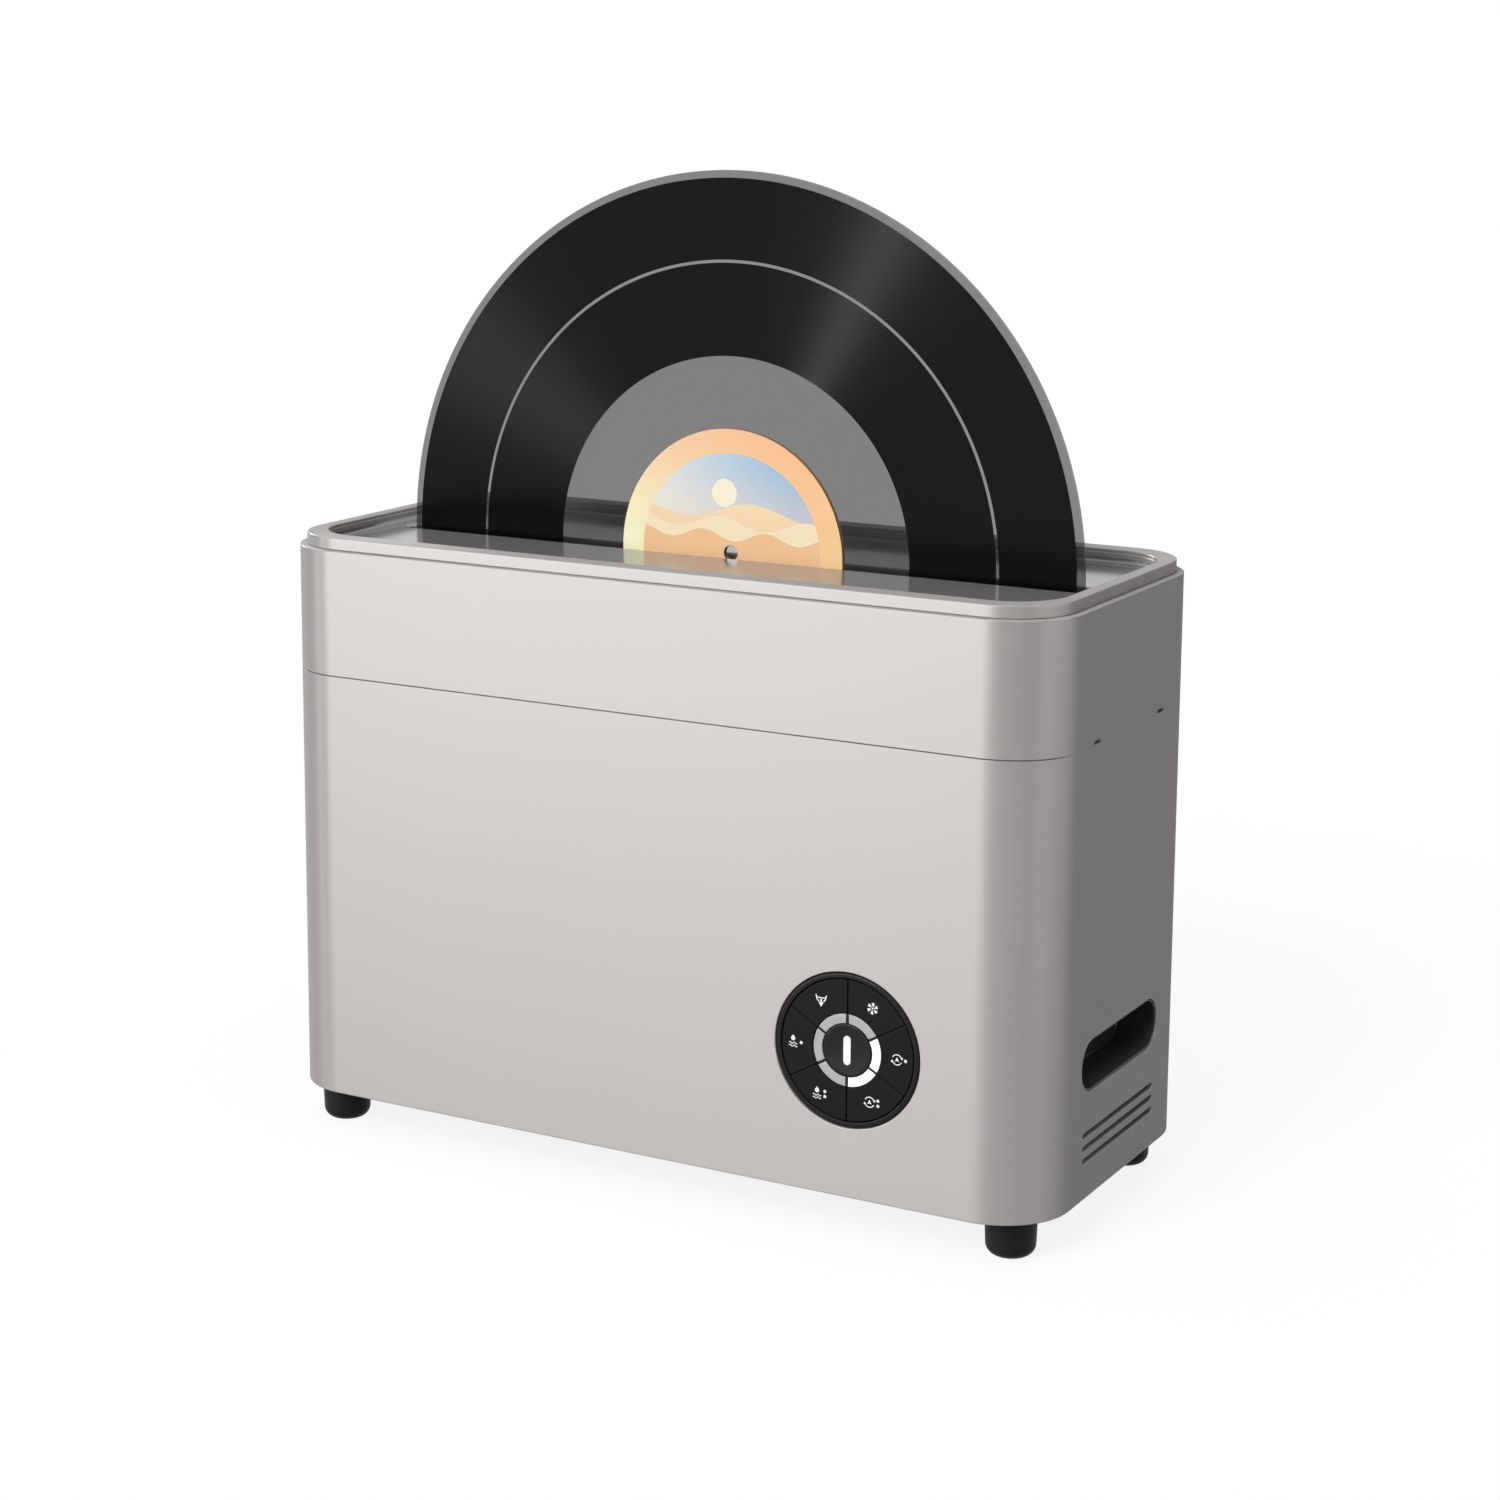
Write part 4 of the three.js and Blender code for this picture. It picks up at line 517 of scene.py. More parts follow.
def clear_material():
    material, tree, shader = new_material("clear_plastic")
    haze = ranged(tree, noise(tree, CLEAR_ROUGH_GRAIN), CLEAR_ROUGH_LOW, CLEAR_ROUGH_HIGH)
    tree.links.new(haze, shader.inputs["Roughness"])
    cloud = noise(tree, CLEAR_TINT_GRAIN)
    tint = mix_colours(tree, cloud, colour(CLEAR_DARK), colour(CLEAR_LIGHT))
    tree.links.new(tint, shader.inputs["Base Color"])
    set_sockets(shader, Transmission_Weight=0.85, IOR=1.3)
    return material


clear_plastic = clear_material()

# Radii on the record: the disc and its label as in the model, the others from the photograph
RECORD_R = length("record_disc", X) / 2
LABEL_R = length("record_label_front", X) / 2
EDGE_INNER, GROOVES_OUTER, GAP_OUTER = 150.3, 147.4, 115.5
GAP_INNER, GROOVES_INNER, HOLE_R = 114.3, 78.0, 3.1

# Vinyl: the grooved bands cover what is behind them, and the smooth lands let light through.
# The record is thick and is mostly seen at a slant, so on its rear side each band is REAR_WIDER
# narrower at both edges. That way it doesn't cut into what shows through the lands in front.
# The grooves are waves that turn by GROOVE_PITCH radians in a millimetre
REAR_WIDER = 1.3
LAND_ALPHA, GAP_ALPHA, EDGE_ALPHA = 0.56, 0.5, 0.54
GAP_ALPHA_FROM, EDGE_ALPHA_FROM = 80.0, 130.0
LAND_TINT, GROOVE_DARK, GROOVE_LIGHT = 0.03, 0.002, 0.004
LAND_ROUGH, GROOVE_ROUGH_LOW, GROOVE_ROUGH_HIGH = 0.06, 0.36, 0.4
BAND_SCALE, BAND_DETAIL = 0.35, 4.0
GROOVE_PITCH, GROOVE_STRENGTH, GROOVE_DEPTH = 9.0, 0.12, 0.02
VINYL_SPECULAR = 0.15


def radius_in_mm(tree):
    """Distance from the record's axis in millimetres, on an object whose origin is on it."""
    apart = node(tree, "SeparateXYZ", {"Vector": object_place(tree)})
    square = math_node(tree, "MULTIPLY", apart.outputs["X"], apart.outputs["X"])
    total = math_node(tree, "MULTIPLY_ADD", apart.outputs["Z"], apart.outputs["Z"], square)
    return math_node(tree, "DIVIDE", math_node(tree, "SQRT", total), MM), apart


def steps_by_radius(tree, radius, stops):
    """A value that changes in hard steps with the radius; each stop is (from, value)."""
    share = math_node(tree, "DIVIDE", radius, RECORD_R)
    ramp = node(tree, "ValToRGB", {"Fac": share})
    ramp.color_ramp.interpolation = "CONSTANT"
    elements = ramp.color_ramp.elements
    for index, (start, value) in enumerate(stops):
        place = start / RECORD_R
        element = elements[index] if index < len(elements) else elements.new(place)
        element.position = place
        element.color = grey(value)
    return ramp.outputs["Color"]


def grooved_bands(tree, radius, narrower):
    """1 on the grooved bands and the outermost edge, and 0 on the lands between them."""
    stops = [
        (0.0, 0.0),
        (GROOVES_INNER + narrower, 1.0),
        (GAP_INNER - narrower, 0.0),
        (GAP_OUTER + narrower, 1.0),
        (GROOVES_OUTER - narrower, 0.0),
        (EDGE_INNER, 1.0),
    ]
    return steps_by_radius(tree, radius, stops)


def vinyl_material():
    material, tree, shader = new_material("vinyl")
    radius, apart = radius_in_mm(tree)
    grooved = grooved_bands(tree, radius, 0.0)
    grooved_behind = grooved_bands(tree, radius, REAR_WIDER)
    ring = node(tree, "CombineXYZ", {"X": radius}).outputs[0]
    grain = {"Vector": ring, "Scale": BAND_SCALE, "Detail": BAND_DETAIL}
    bands = node(tree, "TexNoise", grain).outputs["Fac"]
    groove_tint = mix_colours(tree, bands, grey(GROOVE_DARK), grey(GROOVE_LIGHT))
    tint = mix_colours(tree, grooved, grey(LAND_TINT), groove_tint)
    tree.links.new(tint, shader.inputs["Base Color"])
    stops = [(0.0, LAND_ALPHA), (GAP_ALPHA_FROM, GAP_ALPHA), (EDGE_ALPHA_FROM, EDGE_ALPHA)]
    land = steps_by_radius(tree, radius, stops)
    behind = math_node(tree, "GREATER_THAN", apart.outputs["Y"], 0.0)
    covered = node(tree, "Mix", {0: behind, 2: grooved, 3: grooved_behind}, data_type="FLOAT")
    solid = math_node(tree, "MAXIMUM", covered.outputs[0], land)
    tree.links.new(solid, shader.inputs["Alpha"])
    groove_rough = ranged(tree, bands, GROOVE_ROUGH_LOW, GROOVE_ROUGH_HIGH)
    rougher = math_node(tree, "SUBTRACT", groove_rough, LAND_ROUGH)
    rough = math_node(tree, "MULTIPLY_ADD", rougher, grooved, LAND_ROUGH)
    tree.links.new(rough, shader.inputs["Roughness"])
    waves = math_node(tree, "SINE", math_node(tree, "MULTIPLY", radius, GROOVE_PITCH))
    height = math_node(tree, "MULTIPLY", waves, grooved)
    relief(tree, shader, height, GROOVE_STRENGTH, GROOVE_DEPTH)
    brushed(tree, shader, "Y", 1.0)
    set_sockets(shader, Specular_IOR_Level=VINYL_SPECULAR)
    return material


vinyl = vinyl_material()

# Label: a sky with a low sun over dunes, in a warm ring. Places are from the record's axis
RING_INNER = 40.0
RING_LEFT, RING_RIGHT, RING_TOP = (1.0, 0.98, 0.62), (1.0, 0.64, 0.29), (1.0, 0.47, 0.23)
RING_TOP_SHARE = 0.65
SKY_LOW_LEFT, SKY_LOW_RIGHT = (0.98, 0.9, 0.68), (0.66, 0.62, 0.64)
SKY_HIGH_LEFT, SKY_HIGH_RIGHT = (0.85, 0.86, 0.82), (0.25, 0.48, 0.73)
FADE_LEFT, FADE_RIGHT = -45.0, 30.0
RING_FADE_LOW, RING_FADE_HIGH = 5.0, 45.0
SKY_FADE_LOW, SKY_FADE_HIGH = 10.0, 36.0
SUN_PLACE, SUN_RADIUS, SUN_COLOUR = (-3.0, 24.0, 0.0), 5.6, (1.0, 0.93, 0.7)
FIBRE_COLOUR, FIBRE_SHARE, FIBRE_GRAIN = (1.0, 0.98, 0.94), 0.08, 1800.0
FIBRE_STRENGTH, FIBRE_DEPTH = 0.4, 0.01

# Each dune is (height, swing, pitch, phase, colour), from the farthest to the nearest
DUNES = (
    (17.0, 3.2, 0.11, 0.6, (0.98, 0.74, 0.45)),
    (12.0, 2.6, 0.16, 2.4, (1.0, 0.84, 0.56)),
    (7.0, 2.0, 0.22, 4.4, (0.93, 0.56, 0.28)),
)


def label_ring(tree, across, z):
    up = ranged_from(tree, z, RING_FADE_LOW, RING_FADE_HIGH)
    ring = mix_colours(tree, across, colour(RING_LEFT), colour(RING_RIGHT))
    topmost = math_node(tree, "MULTIPLY", up, RING_TOP_SHARE)
    return mix_colours(tree, topmost, ring, colour(RING_TOP))


def label_picture(tree, across, x, z):
    low = mix_colours(tree, across, colour(SKY_LOW_LEFT), colour(SKY_LOW_RIGHT))
    high = mix_colours(tree, across, colour(SKY_HIGH_LEFT), colour(SKY_HIGH_RIGHT))
    picture = mix_colours(tree, ranged_from(tree, z, SKY_FADE_LOW, SKY_FADE_HIGH), low, high)
    for base, swing, pitch, phase, tint in DUNES:
        wave = math_node(tree, "SINE", math_node(tree, "MULTIPLY_ADD", x, pitch, phase))
        crest = math_node(tree, "MULTIPLY_ADD", wave, swing, base)
        under = math_node(tree, "LESS_THAN", z, crest)
        picture = mix_colours(tree, under, picture, colour(tint))
    flat = node(tree, "CombineXYZ", {"X": x, "Y": z}).outputs[0]
    from_sun = node(tree, "VectorMath", {0: flat, 1: SUN_PLACE}, operation="DISTANCE")
    sun = math_node(tree, "LESS_THAN", from_sun.outputs["Value"], SUN_RADIUS)
    return mix_colours(tree, sun, picture, colour(SUN_COLOUR))


def label_material():
    material, tree, shader = new_material("label_paper")
    radius, apart = radius_in_mm(tree)
    x = math_node(tree, "DIVIDE", apart.outputs["X"], MM)
    z = math_node(tree, "DIVIDE", apart.outputs["Z"], MM)
    across = ranged_from(tree, x, FADE_LEFT, FADE_RIGHT)
    inside = math_node(tree, "LESS_THAN", radius, RING_INNER)
    ring = label_ring(tree, across, z)
    art = mix_colours(tree, inside, ring, label_picture(tree, across, x, z))
    fibres = noise(tree, FIBRE_GRAIN, FINE_DETAIL)
    art = mix_colours(tree, ranged(tree, fibres, 0.0, FIBRE_SHARE), art, colour(FIBRE_COLOUR))
    tree.links.new(art, shader.inputs["Base Color"])
    relief(tree, shader, fibres, FIBRE_STRENGTH, FIBRE_DEPTH)
    set_sockets(
        shader, Roughness=0.6, Specular_IOR_Level=0.3, Coat_Weight=0.7, Coat_Roughness=0.05
    )
    return material


label_paper = label_material()

# Materials of the pieces that keep the model's own shape
by_slot = {
    "silver_paint": silver,
    "dark_gloss": silver_gloss,
    "black_gloss": black_gloss,
    "black_plastic": black_plastic,
    "grey_plastic": grey_plastic,
    "clear_plastic": clear_plastic,
    "light_plastic": light_off,
    "rubber": rubber,
    "steel": steel,
    "aluminium": aluminium,
    "brass": brass,
    "circuit_board": board_green,
    "foam": foam,
    "vinyl": vinyl,
    "label_paper": label_paper,
}
for part in frame["record"]["subparts"]:
    target = nodes[part["node"]]
    target.data.materials.clear()
    target.data.materials.append(by_slot[part["material_slot"]])

# Air nozzles: moulded bars, in the model's own shape with soft edges
NOZZLE_EDGE, NOZZLE_EDGE_STEPS, NOZZLE_EDGE_ANGLE = 1.2, 3, math.radians(30)
WELD, FLAT_ANGLE = 1e-6, math.radians(0.5)


def nozzle(name):
    """A nozzle of the model with its flat faces made whole and its edges rounded."""
    thing = bpy.data.objects.new(name + "_moulding", nodes[name].data.copy())
    thing.matrix_world = nodes[name].matrix_world.copy()
    bpy.context.scene.collection.objects.link(thing)
    bm = bmesh.new()
    bm.from_mesh(thing.data)
    bmesh.ops.remove_doubles(bm, verts=bm.verts, dist=WELD)
    bmesh.ops.dissolve_limit(bm, angle_limit=FLAT_ANGLE, verts=bm.verts, edges=bm.edges)
    bm.to_mesh(thing.data)
    bm.free()
    modifier = thing.modifiers.new("edges", "BEVEL")
    modifier.width = NOZZLE_EDGE * MM
    modifier.segments = NOZZLE_EDGE_STEPS
    modifier.limit_method = "ANGLE"
    modifier.angle_limit = NOZZLE_EDGE_ANGLE
    settle(thing)
    dressed(thing, black_plastic, "machine", [name])


nozzle("air_nozzle_front")
nozzle("air_nozzle_rear")

# Openings in the casing: each is a tool whose mouth flares into a small rounded edge
HOLE_DEPTH, HOLE_EDGE, MOUTH_OUT = 3.5, 0.3, 1.0
VENT_LENGTH, VENT_HEIGHT, VENT_PITCH, VENT_Z = 69.5, 2.2, 5.0, 36.7
GRILLE_LENGTH, JACK_RADIUS = 56, 5.3
GRILLE_X, GRILLE_Z = middle("air_filter", X), middle("air_filter", Z)
JACK_X, JACK_Z = middle("dc_jack", X), middle("dc_jack", Z)
DIAL_HOLE_RADIUS, DIAL_HOLE_EDGE = 30.2, 0.35
TANK_HOLE_WIDTH, TANK_HOLE_HEIGHT, TANK_HOLE_EDGE = 75.0, 20.5, 0.15


def mouth(ring_at, edge=HOLE_EDGE):
    """Rings of a tool that cuts a hole with a rounded outer edge; ring_at(grow, out) is a ring."""
    levels = [(0.0, -HOLE_DEPTH), (0.0, -edge)]
    for step in range(1, EDGE_STEPS + 1):
        angle = step / EDGE_STEPS * math.pi / 2
        levels.append((edge * (1 - math.cos(angle)), edge * (math.sin(angle) - 1)))
    levels.append((edge, MOUTH_OUT))
    return loft([ring_at(grow, out) for grow, out in levels])


def side_mouth(width, height, z, edge=HOLE_EDGE):
    return mouth(lambda grow, out: on_x(stadium(width, height, grow), RIGHT + out, z), edge)


def rear_mouth(points, x, z):
    def ring(grow, out):
        return [(x - u, BACK + out, z + v) for u, v in points(grow)]

    return mouth(ring)


def grille_slit(grow):
    return stadium(GRILLE_LENGTH, VENT_HEIGHT, grow)


def jack_round(grow):
    return circle(JACK_RADIUS + grow, JACK_STEPS)


def dial_round(grow, out):
    return on_front(circle(DIAL_HOLE_RADIUS + grow), out, DIAL_X, DIAL_Z)


vents = [side_mouth(VENT_LENGTH, VENT_HEIGHT, VENT_Z + k * VENT_PITCH) for k in (-1, 0, 1)]
slits = [rear_mouth(grille_slit, GRILLE_X, GRILLE_Z + k * VENT_PITCH) for k in range(-3, 4)]
jack_hole = rear_mouth(jack_round, JACK_X, JACK_Z)
dial_hole = mouth(dial_round, DIAL_HOLE_EDGE)
tank_hole = side_mouth(TANK_HOLE_WIDTH, TANK_HOLE_HEIGHT, TANK_Z, TANK_HOLE_EDGE)

# Lower casing, with its hatch's rebate and the saddles of the tank's bay. Sizes of a rectangle
# are (width, depth, corner radius), and rows of a section (inset, z, radius)
HATCH, HATCH_REBATE, HATCH_STEP_Z = (176, 100, 8), (184, 108, 12), 18.1
SADDLE, SADDLE_X, SADDLE_SUNK, SADDLE_TOP, SADDLE_STEPS = (3, 52, 0.4), 100.0, 1.0, 56.0, 2
BASE_INSET, BASE_ROUND, LIP_ROUND, TONGUE_ROUND = 8.0, 0.5, 0.12, 0.2

lower_section = [
    (BASE_INSET, BOTTOM, 0),
    (0.0, BOTTOM, BASE_ROUND),
    (0.0, SEAM_LOW, LIP_ROUND),
    (TONGUE, SEAM_LOW, 0),
    (TONGUE, TONGUE_TOP, TONGUE_ROUND),
    (WALL, TONGUE_TOP, TONGUE_ROUND),
    (WALL, DECK, 0),
    (LEDGE, DECK, 0),
    (WALL, DECK - LEDGE_RAMP, 0),
    (WALL, FLOOR, 0),
]
lower_rings = (
    [on_z(rectangle(*HATCH), z) for z in (FLOOR, HATCH_STEP_Z)]
    + [on_z(rectangle(*HATCH_REBATE), z) for z in (HATCH_STEP_Z, BOTTOM)]
    + body_rings(rounded(lower_section))
)
saddles = [
    block(SADDLE, FLOOR - SADDLE_SUNK, SADDLE_TOP, x, steps=SADDLE_STEPS)
    for x in (-SADDLE_X, SADDLE_X)
]
piece(
    "casing_lower_shell",
    narrowed(loft(lower_rings, closed=True)),
    silver,
    "machine",
    ["lower_casing"],
    adds=[merged(*saddles)],
    cuts=[merged(dial_hole, tank_hole, jack_hole, *vents, *slits)],
)

# Cover: painted band with its rounded shoulder, and two notches in the seam on each side
TRAY_UNDER, TRAY_GAP, SHOULDER_ROUND, SHOULDER_INSET = 239.9, 0.2, 0.4, 6.6
LIP_INSET, LIP_TOP = 1.1, 194.7
NOTCH, NOTCH_Y, NOTCH_LOW, NOTCH_HIGH, NOTCH_STEPS = (3.4, 6, 0.4), 31.0, 190.5, 192.8, 3

notches = [
    block(NOTCH, NOTCH_LOW, NOTCH_HIGH, x, y, NOTCH_STEPS)
    for x in (LEFT, RIGHT)
    for y in (-NOTCH_Y, NOTCH_Y)
]
upper_section = [
    (0.0, SEAM_HIGH, LIP_ROUND),
    (0.0, CASING_TOP, SHOULDER_ROUND),
    (SHOULDER_INSET, CASING_TOP, 0),
    (SHOULDER_INSET, TRAY_UNDER - TRAY_GAP, 0),
    (WALL, TRAY_UNDER - TRAY_GAP, 0),
    (WALL, LIP_TOP, 0),
    (LIP_INSET, LIP_TOP, 0),
    (LIP_INSET, SEAM_HIGH, 0),
]
upper_rings = body_rings(rounded(upper_section, closed=True, steps=FINE_EDGE_STEPS))
piece(
    "casing_upper_band",
    narrowed(loft(upper_rings, closed=True)),
    silver,
    "cover",
    ["upper_casing"],
    cuts=[merged(*notches)],
)

# Cover: painted rim, and the glossy sunk tray with its slot. A row with a lead only gives the
# corner beside it a direction, and is left out again
TRAY, TRAY_WALL, TRAY_OPENING, TRAY_ROUND = 241.9, 1.3, (323, 126, 22), 1.8
RIM_INSET, RIM_BACK, RIM_UNDER = 2.9, 6.9, 242.35
RIM_ROUND, RIM_UNDER_ROUND = 0.5, 0.25
LIP_LOW, LIP_GAP = 243.8, 0.02
STEP_IN, STEP_Z, STEP_ROUND, STEP_HOLLOW = 0.4, 245.7, 0.3, 0.05
SLOT, SLOT_ROUND, SKIRT_WALL, SKIRT_ROUND = (308.4, 12, 5.7), 1.4, 1.5, 0.3
RIM_LEAD, OPENING_LEAD, TRAY_LEAD, SLOT_LEAD = 7.0, -3.0, 6.0, -4.0


def rectangle_rings(size, section):
    """Rings of a rounded rectangle for a section of (inset, z)."""
    return [on_z(rectangle(*size, inset), z) for inset, z in section]


rim_outer = rounded(
    [
        (RIM_BACK, TRAY_UNDER, 0),
        (RIM_BACK, RIM_UNDER, 0),
        (RIM_INSET, RIM_UNDER, RIM_UNDER_ROUND),
        (RIM_INSET, TOP, RIM_ROUND),
        (RIM_LEAD, TOP, 0),
    ]
)[:-1]
rim_inner = rounded(
    [
        (OPENING_LEAD, TOP, 0),
        (0.0, TOP, RIM_ROUND),
        (0.0, STEP_Z, STEP_HOLLOW),
        (STEP_IN, STEP_Z, STEP_ROUND),
        (STEP_IN, LIP_LOW, 0),
        (-TRAY_WALL, LIP_LOW, 0),
        (-TRAY_WALL, TRAY_UNDER, 0),
    ]
)[1:]
piece(
    "rim_band",
    loft(body_rings(rim_outer) + rectangle_rings(TRAY_OPENING, rim_inner), closed=True),
    silver,
    "cover",
)
tray_section = rounded(
    [
        (-TRAY_WALL, TRAY_UNDER, 0),
        (-TRAY_WALL, LIP_LOW - LIP_GAP, 0),
        (STEP_IN, LIP_LOW - LIP_GAP, 0),
        (STEP_IN, TRAY, TRAY_ROUND),
        (TRAY_LEAD, TRAY, 0),
    ]
)[:-1]
slot_section = rounded(
    [
        (SLOT_LEAD, TRAY, 0),
        (0.0, TRAY, SLOT_ROUND),
        (0.0, SKIRT_LOW, SKIRT_ROUND),
        (-SKIRT_WALL, SKIRT_LOW, SKIRT_ROUND),
        (-SKIRT_WALL, TRAY_UNDER, 0),
    ]
)[1:]
tray_rings = rectangle_rings(TRAY_OPENING, tray_section) + rectangle_rings(SLOT, slot_section)
piece("tray_moulding", loft(tray_rings, closed=True), silver_gloss, "cover", ["top_tray"])

# Feet: rubber pads, rounded below
FEET = ("foot_front_left", "foot_front_right", "foot_rear_right", "foot_rear_left")
FOOT_RADIUS, FOOT_ROUND = 9.4, 4.5
FOOT_TOP_RADIUS = length(FEET[0], X) / 2
foot_section = rounded(
    [
        (0.0, 0.0, 0),
        (FOOT_RADIUS, 0.0, FOOT_ROUND),
        (FOOT_TOP_RADIUS, BOTTOM, 0),
        (0.0, BOTTOM, 0),
    ],
    steps=FOOT_EDGE_STEPS,
)[1:-1]
for name in FEET:
    x, y = middle(name, X), middle(name, Y)
    rings = [on_z(circle(radius, FOOT_STEPS), z, x, y) for radius, z in foot_section]
    piece(name + "_pad", loft(rings), rubber, "machine", [name])

# Sunk front of the tank, with rows (inset, x, radius)
PULL_WIDTH, PULL_HEIGHT = length("tank_front", Y), length("tank_front", Z)
PULL_LIP, PULL_ROUND, PULL_HOLLOW, PULL_LEAD, PULL_FACE_IN = 0.6, 0.2, 0.8, 6.0, 0.5
PULL_BACK, PULL_SUNK, PULL_FACE = span("tank_front", X)[0], 154.0, RIGHT - PULL_FACE_IN
pull_section = rounded(
    [
        (0.0, PULL_BACK, 0),
        (0.0, PULL_FACE, PULL_ROUND),
        (PULL_LIP, PULL_FACE, PULL_ROUND),
        (PULL_LIP, PULL_SUNK, PULL_HOLLOW),
        (PULL_LEAD, PULL_SUNK, 0),
    ]
)[:-1]
rings = [
    on_x(stadium(PULL_WIDTH, PULL_HEIGHT, -inset, PULL_STEPS), x, TANK_Z)
    for inset, x in pull_section
]
piece("tank_pull", loft(rings), black_gloss, "tank", ["tank_front"])

# Dial: bezel, six sector keys, light ring of six arcs and the power key. Heights are counted
# outwards from the casing's face
KEY_FACE, KEY_BACK, KEY_INNER, KEY_OUTER, KEY_ROUND = -0.3, -3.0, 14.4, 27.3, 0.25
BEZEL_OUTER, BEZEL_INNER, BEZEL_BACK = length("control_bezel", X) / 2, 27.8, -9.8
BEZEL_ROUND, BEZEL_INNER_ROUND = 0.9, 0.3
FIRST_GAP_DEGREES, KEY_DEGREES = 30, 60
WIDE_GAP, FINE_GAP, WIDE_GAPS = 0.24, 0.15, (1, 4)
ARC_INNER, ARC_OUTER, ARC_BACK, ARC_ROUND, ARC_EXTRA_GAP = 10.45, 14.0, -2.4, 0.2, 0.36
WEB_INNER, WEB_OUTER, WEB_BACK, WEB_FACE = 10.3, 14.2, -8.0, -0.6
POWER_RADIUS, POWER_ROUND = length("power_key", X) / 2, 0.3
DISH_RADIUS, DISH_DEPTH, CAP_LEAD = 9.2, 0.42, 1.0

# The keys with their bodies, anticlockwise from the upper right. Gaps, keys and arcs are counted
# that way: two opposite gaps are wide, and the arcs of the last two keys are lit
KEY_BODIES = {
    "key_dry": "dry_button",
    "key_drain": "drain_button",
    "key_clean_1": "clean_1_button",
    "key_clean_2": "clean_2_button",
    "key_auto_2": "auto_2_button",
    "key_auto_1": "auto_1_button",
}
LIT = (4, 5)


def dial_rings(outline, section):
    """Rings of a dial piece for a section of (measure, out), where outline(measure) is an edge."""
    return [on_front(outline(measure), out, DIAL_X, DIAL_Z) for measure, out in section]


def cap_section(back, radius):
    """Section of a cap: straight up from its back, with a rounded edge round its face."""
    return rounded([(0.0, back, 0), (0.0, KEY_FACE, radius), (CAP_LEAD, KEY_FACE, 0)])[:-1]


bezel_section = rounded(
    [
        (BEZEL_OUTER, BEZEL_BACK, 0),
        (BEZEL_OUTER, 0.0, BEZEL_ROUND),
        (BEZEL_INNER, 0.0, BEZEL_INNER_ROUND),
        (BEZEL_INNER, BEZEL_BACK, 0),
    ],
    closed=True,
    steps=FINE_EDGE_STEPS,
)
piece(
    "dial_bezel",
    loft(dial_rings(circle, bezel_section), closed=True),
    bezel_black,
    "machine",
    ["control_bezel"],
)
key_section = cap_section(KEY_BACK, KEY_ROUND)
arc_section = cap_section(ARC_BACK, ARC_ROUND)
for index, (name, body) in enumerate(KEY_BODIES.items()):
    start = math.radians(FIRST_GAP_DEGREES + KEY_DEGREES * index)
    gaps = [WIDE_GAP if k in WIDE_GAPS else FINE_GAP for k in (index, index + 1)]
    rings = dial_rings(lambda inset: sector(KEY_INNER, KEY_OUTER, gaps, start, inset), key_section)
    piece(name + "_cap", loft(rings), key_black, body, [name])
    gaps = [gap + ARC_EXTRA_GAP for gap in gaps]
    rings = dial_rings(lambda inset: sector(ARC_INNER, ARC_OUTER, gaps, start, inset), arc_section)
    look = light_on if index in LIT else light_off
    piece("light_arc_%d" % (index + 1), loft(rings), look, "machine")
web_section = [
    (WEB_OUTER, WEB_BACK),
    (WEB_OUTER, WEB_FACE),
    (WEB_INNER, WEB_FACE),
    (WEB_INNER, WEB_BACK),
]
piece(
    "light_web",
    loft(dial_rings(circle, web_section), closed=True),
    black_plastic,
    "machine",
    ["light_ring"],
)
power_section = rounded(
    [
        (0.0, KEY_BACK, 0),
        (POWER_RADIUS, KEY_BACK, 0),
        (POWER_RADIUS, KEY_FACE, POWER_ROUND),
        (0.0, KEY_FACE, 0),
    ]
)[1:-1]
for step in range(DISH_STEPS):
    share = 1 - step / DISH_STEPS
    power_section.append((DISH_RADIUS * share, KEY_FACE - DISH_DEPTH * (1 - share**2)))
piece(
    "power_cap",
    loft(dial_rings(circle, power_section)),
    power_black,
    "power_button",
    ["power_key"],
)

# Icons, drawn in millimetres from the middle of the dial and raised a little from the keys
ICON_HEIGHT, ICON_SUNK, UNDER_DISH = 0.05, 0.02, 0.1
WAVE_LENGTH, WAVE_SWING, WAVE_WIDTH, HALF_WAVES = 3.5, 0.3, 0.28, 4
BOW_WIDTH, BOWL_WIDTH, WATER_WIDTH, DOT_RADIUS, HUB_RADIUS = 0.32, 0.45, 0.36, 0.6, 0.3
PILL = (2.9, 11.2, 1.45)


def printed(name, outlines, body, depth=ICON_SUNK):
    """Outlines raised a little from the face of a key, as one piece in white ink with a painted
    glow.
    """
    solids = [
        loft([on_front(points, KEY_FACE + out, DIAL_X, DIAL_Z) for out in (-depth, ICON_HEIGHT)])
        for points in outlines
    ]
    piece(name, merged(*solids), ink, body)


def dot(x, z, radius=DOT_RADIUS):
    return [(x + u, z + v) for u, v in circle(radius, DOT_STEPS)]


def stroke(points, width):
    """A line of even width through points, as one outline."""
    left, rightwards = [], []
    for i, here in enumerate(points):
        before = Vector(points[max(i - 1, 0)])
        after = Vector(points[min(i + 1, len(points) - 1)])
        along = (after - before).normalized()
        side = Vector((-along.y, along.x)) * width / 2
        left.append(tuple(Vector(here) + side))
        rightwards.append(tuple(Vector(here) - side))
    return rightwards + left[::-1]


def arc(x, z, radius, start, end, steps=ARC_STEPS):
    turns = [math.radians(start + (end - start) * step / steps) for step in range(steps + 1)]
    return [(x + radius * math.cos(a), z + radius * math.sin(a)) for a in turns]


def turned(points, x, z, degrees):
    rotation = Matrix.Rotation(math.radians(degrees), 2)
    return [tuple(Vector((x, z)) + rotation @ Vector(point)) for point in points]


